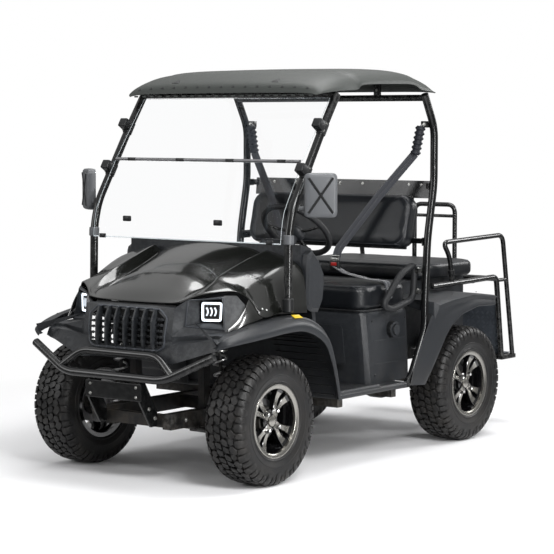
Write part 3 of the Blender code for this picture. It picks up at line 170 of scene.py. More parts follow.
def wear_group():
    """Where edges have been rubbed."""
    tree, given, out = group("edge wear", [("Place", VECTOR, None), ("Amount", FLOAT, 0.5)], [("Mask", FLOAT)])
    pointed = node(tree, "ShaderNodeNewGeometry").outputs["Pointiness"]
    edge = ranged(tree, pointed, 0.515, 0.58)
    patches = ranged(tree, noise_of(tree, given["Place"], 45.0, 5.0, 0.65), 0.42, 0.62)
    mask = maths(tree, "MULTIPLY", maths(tree, "MULTIPLY", edge, patches), given["Amount"])
    tree.links.new(mask, out["Mask"])
    return tree


def dust_group():
    """Road dust: more of it low down and on what faces up."""
    tree, given, out = group(
        "road dust", [("Place", VECTOR, None), ("Level", FLOAT, 0.5), ("Amount", FLOAT, 0.3)], [("Mask", FLOAT)]
    )
    height = node(tree, "ShaderNodeSeparateXYZ", {0: given["Place"]}).outputs["Z"]
    low = node(tree, "ShaderNodeMapRange", {"Value": height, "From Min": given["Level"], "From Max": 0.0}).outputs[0]
    patches = ranged(tree, noise_of(tree, given["Place"], 14.0, 6.0, 0.6), 0.40, 0.70)
    up = node(
        tree, "ShaderNodeSeparateXYZ", {0: node(tree, "ShaderNodeNewGeometry").outputs["Normal"]}
    ).outputs["Z"]
    lying = maths(tree, "MULTIPLY", ranged(tree, up, 0.3, 1.0), 0.35)
    both = maths(tree, "MULTIPLY", maths(tree, "ADD", low, lying), patches)
    tree.links.new(maths(tree, "MULTIPLY", both, given["Amount"]), out["Mask"])
    return tree


def weave_group():
    """Webbing ribs that run along V with slanting picks, as a height."""
    tree, given, out = group(
        "webbing weave", [("Place", VECTOR, None), ("Across", FLOAT, 15.0), ("Along", FLOAT, 400.0)], [("Height", FLOAT)]
    )
    parts = node(tree, "ShaderNodeSeparateXYZ", {0: given["Place"]}).outputs
    across = maths(tree, "MULTIPLY", parts["X"], maths(tree, "MULTIPLY", given["Across"], math.tau))
    slant = maths(tree, "MULTIPLY", parts["X"], 12.0)
    along = maths(tree, "ADD", maths(tree, "MULTIPLY", parts["Y"], given["Along"]), slant)
    ribs = maths(tree, "ABSOLUTE", maths(tree, "SINE", across))
    picks = maths(tree, "MULTIPLY", maths(tree, "SINE", maths(tree, "MULTIPLY", along, math.tau)), 0.5)
    tree.links.new(maths(tree, "ADD", ribs, picks), out["Height"])
    return tree


def turned_group():
    """Fine lathe rings round an axle that runs along X."""
    tree, given, out = group("turned rings", [("Place", VECTOR, None), ("Pitch", FLOAT, 900.0)], [("Height", FLOAT)])
    parts = node(tree, "ShaderNodeSeparateXYZ", {0: given["Place"]}).outputs
    flat = node(tree, "ShaderNodeCombineXYZ", {"Y": parts["Y"], "Z": parts["Z"]}).outputs[0]
    radius = node(tree, "ShaderNodeVectorMath", {0: flat}, operation="LENGTH").outputs["Value"]
    rings = node(
        tree, "ShaderNodeTexNoise", {"W": maths(tree, "MULTIPLY", radius, given["Pitch"]), "Scale": 1.0, "Detail": 1.0},
        noise_dimensions="1D",
    ).outputs["Fac"]
    tree.links.new(rings, out["Height"])
    return tree


GROUPS = {
    "tone": tone_group(), "grain": grain_group(), "wear": wear_group(), "dust": dust_group(),
    "weave": weave_group(), "turned": turned_group(),
}


def use(tree, name, **values):
    made = tree.nodes.new("ShaderNodeGroup")
    made.node_tree = GROUPS[name]
    for key, value in values.items():
        socket = made.inputs[key.capitalize()]
        if isinstance(value, bpy.types.NodeSocket):
            tree.links.new(value, socket)
        else:
            socket.default_value = value
    return made.outputs[0]


def mixed(tree, factor, first, second):
    """A colour mixed from two colours."""
    made = node(tree, "ShaderNodeMix", {0: factor, 6: first, 7: second}, data_type="RGBA")
    return made.outputs[2]


def srgb(red, green, blue):
    """A colour as it looks on screen, 0 to 255, in linear values."""
    return tuple(
        value / 255 / 12.92 if value <= 10 else ((value / 255 + 0.055) / 1.055) ** 2.4 for value in (red, green, blue)
    ) + (1.0,)


DUST = srgb(122, 112, 98)
BARE_STEEL = srgb(120, 120, 118)
SOFT_SHEEN = {"Specular_IOR_Level": 0.3}
MATERIALS = {}


def finish(
    name, colour, roughness, metallic=0.0, tone=0.06, tone_scale=5.0, grain=0.0, grain_scale=900.0, crease=0.5,
    wear=0.0, wear_colour=BARE_STEEL, dust=0.0, dust_level=0.6, weave=0.0, turned=0.0, centre=None, **sockets,
):
    """One material: a Principled shader whose colour, roughness and bump come from the shared groups."""
    made = bpy.data.materials.new(name)
    made.use_nodes = True
    tree = made.node_tree
    shader = tree.nodes["Principled BSDF"]
    coordinates = node(tree, "ShaderNodeTexCoord").outputs
    place = coordinates["Object"]
    shade = use(tree, "tone", place=place, scale=tone_scale, amount=tone)
    base = node(tree, "ShaderNodeMix", {0: 1.0, 6: colour}, data_type="RGBA", blend_type="MULTIPLY")
    grey = node(tree, "ShaderNodeCombineColor", {"Red": shade, "Green": shade, "Blue": shade}).outputs[0]
    tree.links.new(grey, base.inputs[7])
    base = base.outputs[2]
    rough = maths(tree, "MULTIPLY", shade, roughness)
    if wear:
        mask = use(tree, "wear", place=place, amount=wear)
        base = mixed(tree, mask, base, wear_colour)
    if dust:
        mask = use(tree, "dust", place=place, level=dust_level, amount=dust)
        base = mixed(tree, mask, base, DUST)
        rough = node(tree, "ShaderNodeMix", {0: mask, 2: rough, 3: 0.9}, data_type="FLOAT").outputs[0]
    tree.links.new(base, shader.inputs["Base Color"])
    tree.links.new(rough, shader.inputs["Roughness"])
    shader.inputs["Metallic"].default_value = metallic
    for key, value in sockets.items():
        shader.inputs[key.replace("_", " ")].default_value = value
    bump = None
    if weave:
        bump = use(tree, "weave", place=coordinates["UV"])
    elif turned:
        about = node(tree, "ShaderNodeMapping", {"Vector": place, "Location": -Vector(centre)}).outputs[0]
        bump = use(tree, "turned", place=about)
    elif grain:
        bump = use(tree, "grain", place=place, scale=grain_scale, crease=crease)
    if bump:
        normal = node(
            tree, "ShaderNodeBump", {"Height": bump, "Strength": 0.6, "Distance": grain or weave or turned}
        ).outputs[0]
        tree.links.new(normal, shader.inputs["Normal"])
    MATERIALS[name] = made
    return made


def make_materials():
    finish("hood_paint", srgb(20, 21, 19), 0.20, 0.25, tone=0.05, grain=0.00010, grain_scale=260.0, crease=0.2,
           Coat_Weight=0.65, Coat_Roughness=0.07)
    finish("matt_plastic", srgb(33, 35, 38), 0.42, grain=0.0004, grain_scale=1100.0, wear=0.25,
           wear_colour=srgb(80, 82, 84), dust=0.10, **SOFT_SHEEN)
    # The lighter grey of the tubes round the nose's grille and lamp bays: a painted highlight on those edges
    finish("edge_highlight_plastic", srgb(62, 65, 70), 0.30, grain=0.0002, grain_scale=1100.0, tone=0.03, **SOFT_SHEEN)
    finish("roof_plastic", srgb(50, 53, 51), 0.52, grain=0.0005, tone=0.08, dust=0.06, dust_level=0.1, **SOFT_SHEEN)
    finish("black_steel", srgb(9, 10, 11), 0.24, 0.1, grain=0.0002, grain_scale=700.0, crease=0.3, wear=0.2,
           Coat_Weight=0.25, Coat_Roughness=0.2, **SOFT_SHEEN)
    finish("frame_steel", srgb(24, 24, 25), 0.5, 0.3, grain=0.0004, grain_scale=500.0, dust=0.35, wear=0.3, **SOFT_SHEEN)
    finish("vinyl", srgb(19, 21, 24), 0.30, grain=0.0007, grain_scale=620.0, crease=0.9, tone=0.05, **SOFT_SHEEN)
    finish("seam_thread", srgb(46, 48, 52), 0.7, grain=0.0003, grain_scale=2500.0)
    finish("tyre_rubber", srgb(13, 13, 14), 0.46, grain=0.0006, grain_scale=420.0, tone=0.12, tone_scale=9.0,
           wear=0.35, wear_colour=srgb(56, 55, 54), dust=0.05, dust_level=0.8, **SOFT_SHEEN)
    finish("rim_black", srgb(9, 9, 10), 0.16, 0.1, grain=0.0001, grain_scale=500.0, Coat_Weight=0.5)
    finish("grip_rubber", srgb(22, 23, 25), 0.55, grain=0.0006, grain_scale=800.0, **SOFT_SHEEN)
    finish("cast_alloy", srgb(120, 120, 122), 0.5, 0.85, grain=0.0006, grain_scale=300.0, dust=0.3)
    finish("zinc", srgb(165, 165, 162), 0.3, 0.9, grain=0.0002, grain_scale=800.0, dust=0.1)
    finish("spring_steel", srgb(190, 190, 190), 0.28, 0.8, grain=0.0002, grain_scale=500.0, dust=0.12)
    finish("chrome", srgb(205, 205, 205), 0.12, 1.0, tone=0.03, grain=0.00005, grain_scale=600.0)
    finish("mirror_shell", srgb(78, 80, 83), 0.45, grain=0.0004, tone=0.04)
    finish("mirror_glass", srgb(200, 205, 208), 0.04, 1.0, tone=0.02)
    finish("webbing", srgb(48, 50, 56), 0.75, weave=0.0006, tone=0.08, Sheen_Weight=0.4, **SOFT_SHEEN)
    finish("boot_rubber", srgb(28, 30, 36), 0.55, grain=0.0004, grain_scale=700.0, **SOFT_SHEEN)
    finish("buckle_black", srgb(20, 21, 22), 0.4, grain=0.0003, **SOFT_SHEEN)
    finish("release_red", srgb(150, 24, 20), 0.35, grain=0.0002)
    finish("marker_yellow", srgb(205, 175, 30), 0.4, grain=0.0002)
    finish("reflector_red", srgb(140, 16, 14), 0.12, grain=0.0008, grain_scale=260.0, Coat_Weight=1.0)
    finish("reflector_amber", srgb(205, 110, 20), 0.12, grain=0.0008, grain_scale=260.0, Coat_Weight=1.0)
    finish("tread_plate", srgb(92, 98, 106), 0.36, 0.75, tone=0.15, tone_scale=12.0, grain=0.0006, grain_scale=160.0, dust=0.15)
    finish("lamp_bowl", srgb(16, 17, 19), 0.12, grain=0.0001, Coat_Weight=1.0)
    for name, light in (("lamp_light", 2.2), ("lamp_mark", 0.55)):
        finish(name, srgb(225, 230, 236), 0.25, grain=0.0002, Emission_Color=srgb(226, 236, 246), Emission_Strength=light)
    finish("plastic_white", srgb(190, 192, 190), 0.4, grain=0.0003)
    finish("clear_sheet", srgb(110, 126, 142), 0.03, tone=0.01, Transmission_Weight=1.0, IOR=1.08, Alpha=0.03)
    # The pale edge faces of the clear sheets: a painted highlight along their edges
    finish("sheet_edge_highlight", srgb(205, 214, 218), 0.15, tone=0.03, Transmission_Weight=0.4, IOR=1.45, Alpha=0.75)
    for name, y in (("front", 0.0), ("rear", WHEELBASE)):
        finish(f"machined_{name}", srgb(146, 144, 139), 0.22, 0.95, tone=0.06, turned=0.0004,
               centre=(0, y + FRONT_AXLE_Y, WHEEL_Z))


# Mesh helpers; each returns a bmesh-built mesh in cart coordinates


def linked(name, data):
    made = bpy.data.objects.new(name, data)
    bpy.context.scene.collection.objects.link(made)
    return made


def applied(made):
    """The plain mesh that an object's modifiers or curve give; the object goes."""
    mesh = bpy.data.meshes.new_from_object(made.evaluated_get(bpy.context.evaluated_depsgraph_get()))
    bpy.data.objects.remove(made)
    return mesh


def mesh_of(shape, outward=True):
    if outward:
        bmesh.ops.recalc_face_normals(shape, faces=shape.faces)
    made = bpy.data.meshes.new("shape")
    shape.to_mesh(made)
    shape.free()
    return made


def painted(mesh, material):
    """The mesh with one material on every face."""
    mesh.materials.clear()
    mesh.materials.append(MATERIALS[material])
    return mesh


class Kit(list):
    """The meshes of a piece under way, each in one finish."""

    def __init__(self, material=None, *meshes):
        super().__init__()
        self.add(material, *meshes)

    def add(self, material, *meshes):
        self.extend(painted(mesh, material) for mesh in meshes)

    def place(self, matrix):
        for mesh in self:
            placed(mesh, matrix)


def joined(meshes):
    """One mesh of several, which keeps the material of each."""
    shape = bmesh.new()
    names = []
    for mesh in meshes:
        first = len(shape.faces)
        shape.from_mesh(mesh)
        shape.faces.ensure_lookup_table()
        own = [material.name for material in mesh.materials]
        names += [name for name in own if name not in names]
        for face in shape.faces[first:]:
            if own:
                face.material_index = names.index(own[face.material_index])
        bpy.data.meshes.remove(mesh)
    made = mesh_of(shape, outward=False)
    for name in names:
        made.materials.append(bpy.data.materials[name])
    return made


def piece(name, meshes, body="chassis", replaces=None, angle=38, bevel=0.0, subdivide=0):
    """A finished piece: its meshes joined, moved into the frame, smoothed, and riding on its body."""
    mesh = joined(meshes)
    mesh.transform(TO_FRAME)
    made = linked(name, mesh)
    mesh.shade_smooth()
    mesh.set_sharp_from_angle(angle=math.radians(angle))
    if bevel:
        rounding = made.modifiers.new("rounded edges", "BEVEL")
        rounding.width, rounding.segments, rounding.harden_normals = bevel, 2, True
        rounding.limit_method, rounding.angle_limit = "ANGLE", math.radians(angle)
    if subdivide:
        fine = made.modifiers.new("fine", "SUBSURF")
        fine.levels = fine.render_levels = subdivide
    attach(made, body)
    if replaces:
        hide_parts(replaces)
    return made


def box(low, high, bevel=0.0, segments=2):
    shape = bmesh.new()
    bmesh.ops.create_cube(shape, size=1)
    low, high = Vector(low), Vector(high)
    bmesh.ops.scale(shape, vec=high - low, verts=shape.verts)
    bmesh.ops.translate(shape, vec=(low + high) / 2, verts=shape.verts)
    if bevel:
        bmesh.ops.bevel(shape, geom=shape.edges[:], offset=bevel, segments=segments, affect="EDGES", profile=0.5)
    return mesh_of(shape)


def block(centre, half, bevel=0.0, segments=2):
    """A box given by its centre and half sizes."""
    centre, half = Vector(centre), Vector(half)
    return box(centre - half, centre + half, bevel, segments)


def aimed(start, end):
    """Takes +Z onto the line between two points, from its start."""
    start, end = Vector(start), Vector(end)
    return at(*start) @ (end - start).to_track_quat("Z", "Y").to_matrix().to_4x4()


def circle(radius, sides):
    return [(radius * math.cos(math.tau * k / sides), radius * math.sin(math.tau * k / sides)) for k in range(sides)]


# A profile point nearer the axis than this lies on it
AXIS = 1e-6


def turned(profile, steps, place=Matrix()):
    """A solid of revolution about Z from a profile of radius and height; it closes on the axis or on itself."""
    shape = bmesh.new()
    rings = []
    for radius, height in profile:
        spots = circle(radius, steps) if radius > AXIS else [(0, 0)]
        rings.append([shape.verts.new((x, y, height)) for x, y in spots])
    pairs = list(zip(rings, rings[1:]))
    if len(rings[0]) > 1 and len(rings[-1]) > 1:
        pairs.append((rings[-1], rings[0]))
    for near, far in pairs:
        for index in range(steps):
            after = (index + 1) % steps
            corners = [near[index % len(near)], near[after % len(near)], far[after % len(far)], far[index % len(far)]]
            corners = list(dict.fromkeys(corners))
            if len(corners) > 2:
                shape.faces.new(corners)
    bmesh.ops.transform(shape, matrix=place, verts=shape.verts)
    return mesh_of(shape)


def rod(start, end, radius, sides=24, edge=0.0015):
    """A round bar between two points, with a small chamfer at its ends."""
    length = (Vector(end) - Vector(start)).length
    edge = min(edge, radius / 3, length / 3)
    inner = radius - edge
    profile = ((0, length), (inner, length), (radius, length - edge), (radius, edge), (inner, 0), (0, 0))
    return turned(profile, sides, aimed(start, end))


def rounded_path(points, bend, steps=8, closed=False):
    """The corners of a polyline turned into smooth bends of about the given radius."""
    points = [Vector(point) for point in points]
    count = len(points)
    path = []
    for index, corner in enumerate(points):
        if not closed and index in (0, count - 1):
            path.append(corner)
            continue
        back = points[index - 1] - corner
        ahead = points[(index + 1) % count] - corner
        reach = min(bend * 0.8, back.length * 0.45, ahead.length * 0.45)
        start = corner + back.normalized() * reach
        end = corner + ahead.normalized() * reach
        for step in range(steps + 1):
            t = step / steps
            path.append(start * (1 - t) ** 2 + corner * 2 * t * (1 - t) + end * t**2)
    return path


def flowing(points, steps=6, closed=False):
    """A smooth curve that runs through every point."""
    points = [Vector(point) for point in points]
    count = len(points)
    path = []
    for index in range(count if closed else count - 1):
        places = [index + shift for shift in (-1, 0, 1, 2)]
        a, b, c, d = (points[place % count if closed else min(max(place, 0), count - 1)] for place in places)
        for step in range(steps):
            t = step / steps
            path.append(0.5 * (2 * b + (c - a) * t + (2 * a - 5 * b + 4 * c - d) * t**2 + (3 * b - a - 3 * c + d) * t**3))
    return path if closed else path + [points[-1]]


def flowing_rows(rows, along=4, across=4):
    """A grid of points made finer both ways, through the given ones."""
    wide = [flowing(row, across) for row in rows]
    columns = [flowing(column, along) for column in zip(*wide)]
    return [list(row) for row in zip(*columns)]


def sweep(path, ring, closed=False):
    """A closed solid: a ring of points in X and Y carried along a path with no twist."""
    count = len(path)
    rows = []
    side = None
    for index, point in enumerate(path):
        if closed:
            along = path[(index + 1) % count] - path[index - 1]
        else:
            along = path[min(index + 1, count - 1)] - path[max(index - 1, 0)]
        along.normalize()
        if side is None:
            side = Vector((1, 0, 0)) if abs(along.x) < 0.9 else along.orthogonal()
        side = (side - along * side.dot(along)).normalized()
        up = along.cross(side)
        rows.append([point + side * x + up * y for x, y in ring])
    if not closed:
        return loft(rows)
    shape, rings = skinned(rows, True)
    for index in range(len(ring)):
        after = (index + 1) % len(ring)
        shape.faces.new((rings[-1][index], rings[-1][after], rings[0][after], rings[0][index]))
    return mesh_of(shape)


def tube(points, radius, bend=0.0, sides=20, closed=False, steps=8):
    path = rounded_path(points, bend, steps, closed) if bend else [Vector(point) for point in points]
    return sweep(path, circle(radius, sides), closed)


def plate(outline, thickness, turn=None, holes=(), bevel=0.0):
    """A flat plate from an outline in X and Y with rounded edges, its thickness centred on Z, then turned."""
    curve = bpy.data.curves.new("plate", "CURVE")
    curve.dimensions = "2D"
    curve.fill_mode = "BOTH"
    curve.extrude = thickness / 2 - bevel
    curve.bevel_depth = bevel
    curve.bevel_resolution = 2
    curve.offset = -bevel
    for line in (outline, *holes):
        spline = curve.splines.new("POLY")
        spline.points.add(len(line) - 1)
        for point, (x, y) in zip(spline.points, line):
            point.co = (x, y, 0, 1)
        spline.use_cyclic_u = True
    made = applied(linked("guide", curve))
    bpy.data.curves.remove(curve)
    shape = bmesh.new()
    shape.from_mesh(made)
    bpy.data.meshes.remove(made)
    bmesh.ops.remove_doubles(shape, verts=shape.verts, dist=0.00003)
    if turn:
        bmesh.ops.transform(shape, matrix=turn, verts=shape.verts)
    return mesh_of(shape)


def skinned(rings, around):
    """A grid of faces over rings of points, closed round if each ring is; also the new shape's rings."""
    shape = bmesh.new()
    rings = [[shape.verts.new(point) for point in ring] for ring in rings]
    count = len(rings[0])
    for near, far in zip(rings, rings[1:]):
        for index in range(count if around else count - 1):
            after = (index + 1) % count
            shape.faces.new((near[index], near[after], far[after], far[index]))
    return shape, rings


def loft(sections):
    """A closed solid through like sections, with its two ends filled."""
    shape, rings = skinned(sections, True)
    shape.faces.new(reversed(rings[0]))
    shape.faces.new(rings[-1])
    return mesh_of(shape)


def shell(rows, thickness, lip=0.0):
    """A sheet through rows of points, made solid downwards; the rows run so that its faces point out."""
    base = mesh_of(skinned(rows, False)[0], outward=False)
    guide = linked("guide", base)
    wall = guide.modifiers.new("wall", "SOLIDIFY")
    wall.thickness, wall.offset, wall.use_even_offset = thickness, -1, True
    if lip:
        edge = guide.modifiers.new("lip", "BEVEL")
        edge.width, edge.segments, edge.limit_method, edge.angle_limit = lip, 2, "ANGLE", math.radians(50)
    made = applied(guide)
    bpy.data.meshes.remove(base)
    return made


def copy_of(name):
    """A CAD node's shape in cart coordinates, its doubles merged and its quads restored."""
    shape = bmesh.new()
    shape.from_mesh(NODES[name].data)
    bmesh.ops.transform(shape, matrix=TO_FRAME.inverted(), verts=shape.verts)
    bmesh.ops.remove_doubles(shape, verts=shape.verts, dist=0.00002)
    bmesh.ops.dissolve_limit(shape, angle_limit=math.radians(0.5), verts=shape.verts, edges=shape.edges)
    return mesh_of(shape, outward=False)


def eased(name, material, width, body="chassis", extra=()):
    """A CAD node's shape with rounded edges, and whatever is added to it, in its place."""
    return piece(f"{name}_finish", [*Kit(material, copy_of(name)), *extra], body, name, angle=28, bevel=width)


def placed(mesh, place):
    """The mesh under a matrix, turned the right way out if the matrix mirrors it."""
    mesh.transform(place)
    if place.determinant() < 0:
        mesh.flip_normals()
    return mesh


def polar(radius, degrees):
    return (radius * math.cos(math.radians(degrees)), radius * math.sin(math.radians(degrees)))


# Geometry Nodes that repeat a small piece


def repeat_tree(kind):
    """A tree that sets copies of its input round the X axis (ring) or along a straight row (row)."""
    tree = bpy.data.node_groups.new(f"{kind} of pieces", "GeometryNodeTree")
    for label, what in (("Piece", "Geometry"), ("Count", "Int"), ("Step", "Vector"), ("Material", "Material")):
        tree.interface.new_socket(label, in_out="INPUT", socket_type=f"NodeSocket{what}")
    tree.interface.new_socket("Pieces", in_out="OUTPUT", socket_type="NodeSocketGeometry")
    given = tree.nodes.new("NodeGroupInput").outputs
    line = node(tree, "GeometryNodeMeshLine", {"Count": given["Count"], "Offset": given["Step"]}).outputs[0]
    places = {"Points": line, "Instance": given["Piece"]}
    if kind == "ring":
        share = maths(tree, "DIVIDE", node(tree, "GeometryNodeInputIndex").outputs[0], given["Count"])
        turn = node(tree, "ShaderNodeCombineXYZ", {"X": maths(tree, "MULTIPLY", share, math.tau)})
        places["Rotation"] = turn.outputs[0]
    copies = node(tree, "GeometryNodeInstanceOnPoints", places).outputs[0]
    real = node(tree, "GeometryNodeRealizeInstances", {"Geometry": copies}).outputs[0]
    coloured = node(tree, "GeometryNodeSetMaterial", {"Geometry": real, "Material": given["Material"]}).outputs[0]
    tree.links.new(coloured, tree.nodes.new("NodeGroupOutput").inputs["Pieces"])
    return tree


TREES = {kind: repeat_tree(kind) for kind in ("ring", "row")}


def repeated(kind, mesh, material, count, step=(0.0, 0.0, 0.0)):
    """The plain mesh of a small piece's copies, set in a ring round X or in a row."""
    tree = TREES[kind]
    guide = linked("guide", mesh)
    change = guide.modifiers.new("repeat", "NODES")
    change.node_group = tree
    keys = {item.name: item.identifier for item in tree.interface.items_tree}
    for key, value in (("Count", count), ("Step", step), ("Material", MATERIALS[material])):
        change[keys[key]] = value
    made = applied(guide)
    bpy.data.meshes.remove(mesh)
    return painted(made, material)


# Wheels

TREAD_PITCHES = 24
TREAD_HALF_PITCH = math.pi / TREAD_PITCHES
TREAD_DEPTH, TREAD_CHAMFER, TREAD_END = 0.0125, 0.0016, 0.0012
TREAD_SLANT = TREAD_CHAMFER / 0.29
# The tread's outer line: distance from the middle and radius, over the shoulder
TREAD_LINE = (
    (0.0, 0.2910), (0.050, 0.2908), (0.072, 0.2890), (0.086, 0.2840), (0.096, 0.2755), (0.1035, 0.262), (0.1045, 0.247),
)
# The carcass's half profile: radius and distance from the middle, from the bead to the crown
CARCASS = (
    (0.1538, 0.0790), (0.1545, 0.0855), (0.1620, 0.0885), (0.1700, 0.0910), (0.1745, 0.0960), (0.1790, 0.0962),
    (0.1810, 0.0945), (0.2000, 0.1005), (0.2040, 0.1022), (0.2070, 0.1022), (0.2090, 0.1012), (0.2250, 0.1030),
    (0.2440, 0.1020), (0.2580, 0.0985), (0.2690, 0.0915), (0.2760, 0.0800), (0.2800, 0.0600), (0.2808, 0.0),
)


def read_line(line, place):
    for near, far in zip(line, line[1:]):
        if near[0] <= place <= far[0]:
            share = (place - near[0]) / (far[0] - near[0])
            return near[1] + (far[1] - near[1]) * share
    return line[-1][1]


def tread_block(stations):
    """A tread block: stations of the distance from the middle and the two ends of the block in half pitches."""
    sections = []
    for index, (away, low, high) in enumerate(stations):
        low, high = low * TREAD_HALF_PITCH, high * TREAD_HALF_PITCH
        top = read_line(TREAD_LINE, abs(away))
        face = top - (TREAD_END if index in (0, len(stations) - 1) else 0.0)
        foot, side = top - TREAD_DEPTH, face - TREAD_CHAMFER
        ring = ((low, foot), (low, side), (low + TREAD_SLANT, face), (high - TREAD_SLANT, face), (high, side), (high, foot))
        sections.append([Vector((away, radius * math.sin(turn), -radius * math.cos(turn))) for turn, radius in ring])
    return loft(sections)


# One pitch of the tread on one side of the middle, from the shoulder to the centre: a block's stations
# are the distance from the middle and the block's two ends in half pitches
TREAD_BLOCKS = (
    ((0.073, -0.46, 0.30), (0.082, -0.52, 0.40), (0.091, -0.52, 0.42), (0.099, -0.50, 0.42), (0.1040, -0.42, 0.36),
     (0.1045, -0.30, 0.28)),
    ((0.080, 0.64, 1.22), (0.091, 0.60, 1.28), (0.099, 0.62, 1.26), (0.1035, 0.70, 1.20)),
    ((0.040, 0.45, 0.75), (0.050, 0.20, 1.15), (0.061, 0.18, 1.28), (0.070, 0.45, 1.20), (0.0765, 0.70, 1.00)),
    ((0.038, -0.62, -0.10), (0.047, -0.85, 0.02), (0.058, -0.80, -0.02), (0.066, -0.66, -0.20)),
    ((0.003, -0.55, 0.05), (0.013, -0.70, 0.16), (0.024, -0.50, 0.30), (0.034, -0.30, 0.22)),
    ((0.004, 0.25, 0.92), (0.016, 0.34, 1.06), (0.028, 0.50, 1.14), (0.035, 0.62, 1.02)),
)


def tyre(name, place):
    """An all-terrain tyre: its carcass with sidewall rings and a ring of tread blocks."""
    profile = [(radius, away) for radius, away in CARCASS] + [(radius, -away) for radius, away in CARCASS[-2::-1]]
    blocks = []
    for stations in TREAD_BLOCKS:
        blocks.append(tread_block(stations))
        blocks.append(tread_block([(-away, 1.0 - high, 1.0 - low) for away, low, high in stations]))
    meshes = Kit("tyre_rubber", turned(profile, 96, OUTBOARD), repeated("ring", joined(blocks), "tyre_rubber", TREAD_PITCHES))
    meshes.place(place)
    piece(f"tyre_{name}_tread", meshes, f"wheel_{name}", f"tyre_{name}", 32)


RIM_RADIUS = 0.153
SPOKE_PAIRS = 4
# A spoke's faces that look outboard by more than this are machined
MACHINED_SLOPE = 0.93
# A spoke's stations: radius, degrees from the middle of its pair, half width, height of its face
SPOKE = (
    (0.030, 9.0, 0.0130, 0.0660), (0.046, 9.5, 0.0120, 0.0655), (0.062, 10.0, 0.0105, 0.0620), (0.085, 11.5, 0.0105, 0.0585),
    (0.108, 12.6, 0.0125, 0.0590), (0.128, 12.9, 0.0160, 0.0640), (0.1455, 12.9, 0.0205, 0.0715),
)


def spoke(turn, hand, bright):
    """One spoke with a machined face and black flanks, outboard along +Z."""
    rows = []
    for radius, away, half, height in SPOKE:
        angle = turn + hand * away
        middle, across = Vector((*polar(radius, angle), height)), Vector((*polar(1, angle + 90), 0))
        flank = ((half - 0.0010, 0.0), (half + 0.0010, 0.0022), (half * 1.25, 0.024))
        edges = [(-x, drop) for x, drop in flank[::-1]] + list(flank)
        rows.append([middle + across * x - Vector((0, 0, drop)) for x, drop in edges])
    columns = [flowing(column, 4) for column in zip(*rows)]
    mesh = painted(loft([list(row) for row in zip(*columns)]), "rim_black")
    mesh.materials.append(MATERIALS[bright])
    for face in mesh.polygons:
        if face.normal.z > MACHINED_SLOPE:
            face.material_index = 1
    return mesh


def rim(name, place, bright):
    """A cast rim: stepped barrel, split spokes with machined faces, nuts, a blank cap and a valve."""
    inner, seat, bead = RIM_RADIUS - 0.0055, RIM_RADIUS - 0.001, RIM_RADIUS + 0.0138
    barrel = (
        (bead, 0.0915), (bead, 0.088), (seat, 0.086), (seat, 0.062), (RIM_RADIUS - 0.010, 0.045), (RIM_RADIUS - 0.010, -0.060),
        (seat, -0.070), (seat, -0.086), (bead, -0.088), (bead, -0.0915), (inner, -0.090), (inner, -0.070),
        (inner - 0.010, -0.060), (inner - 0.010, 0.045), (inner - 0.004, 0.062), (inner - 0.001, 0.086),
    )
    lip = (
        (RIM_RADIUS + 0.0140, 0.0905), (RIM_RADIUS + 0.0128, 0.0922), (RIM_RADIUS + 0.004, 0.0922), (inner - 0.0015, 0.086),
        (inner - 0.0030, 0.074), (inner - 0.0015, 0.0738), (RIM_RADIUS + 0.0015, 0.085),
    )
    disc = ((0, 0.060), (0.030, 0.060), (0.044, 0.059), (0.050, 0.054), (0.052, 0.030), (0, 0.030))
    cap = ((0, 0.0735), (0.018, 0.073), (0.0245, 0.070), (0.0265, 0.066), (0.0265, 0.059), (0, 0.059))
    hub = ((0, 0.040), (0.060, 0.038), (0.062, -0.028), (0, -0.028))
    drum = ((0.066, 0.014), (0.096, 0.010), (0.098, -0.020), (0.066, -0.022))
    meshes = Kit("grip_rubber", rod((0.126, 0, 0.070), (0.120, 0, 0.098), 0.003, 12))
    for profile, steps, material in (
        (barrel, 72, "rim_black"), (lip, 72, bright), (disc, 48, "rim_black"), (cap, 40, bright), (hub, 32, "frame_steel"),
        (drum, 40, "cast_alloy"),
    ):
        meshes.add(material, turned(profile, steps))
    for pair in range(SPOKE_PAIRS):
        middle = 90 * pair + 45
        meshes += [spoke(middle, -1, bright), spoke(middle, 1, bright)]
        web = [polar(radius, middle + away) for radius, away in ((0.034, -26), (0.062, -15), (0.062, 15), (0.034, 26))]
        meshes.add(bright, plate(web, 0.018, at(0, 0, 0.0555), bevel=0.001))
    meshes.place(OUTBOARD)
    nut = ((0, 0.083), (0.0035, 0.083), (0.0075, 0.080), (0.0095, 0.076), (0.0095, 0.064), (0, 0.064))
    washer = ((0.010, 0.0655), (0.0135, 0.0655), (0.0135, 0.060), (0.010, 0.060))
    for profile, steps, material in ((nut, 6, "chrome"), (washer, 20, "rim_black")):
        mesh = turned(profile, steps, OUTBOARD @ leaning(45, "Z") @ at(0.0515))
        meshes.append(repeated("ring", mesh, material, SPOKE_PAIRS))
    meshes.place(place @ leaning(8, "X"))
    piece(f"rim_{name}_cast", meshes, f"wheel_{name}", f"rim_{name}", 30)


def wheels():
    for hand, side in SIDES:
        for end, y in (("front", 0.0), ("rear", WHEELBASE)):
            name = f"{end}_{hand}"
            place = at(middle_of(f"tyre_{name}").x, y, WHEEL_Z) @ handed(side)
            tyre(name, place)
            rim(name, place, f"machined_{end}")


# Body panels

SKIN = 0.005


def mirrored_row(half, y):
    """A full row across the cart from its left half, which starts at the middle."""
    return [Vector((-x, y, z)) for x, z in reversed(half[1:])] + [Vector((x, y, z)) for x, z in half]


def softened(outline, radius, steps=5):
    """A flat outline with its corners rounded."""
    return [(p.x, p.y) for p in rounded_path([(x, y, 0) for x, y in outline], radius, steps, True)]


def oblong(low, high, radius, steps=5):
    """A rectangle with rounded corners, from its lowest and highest corner."""
    return softened([low, (high[0], low[1]), high, (low[0], high[1])], radius, steps)


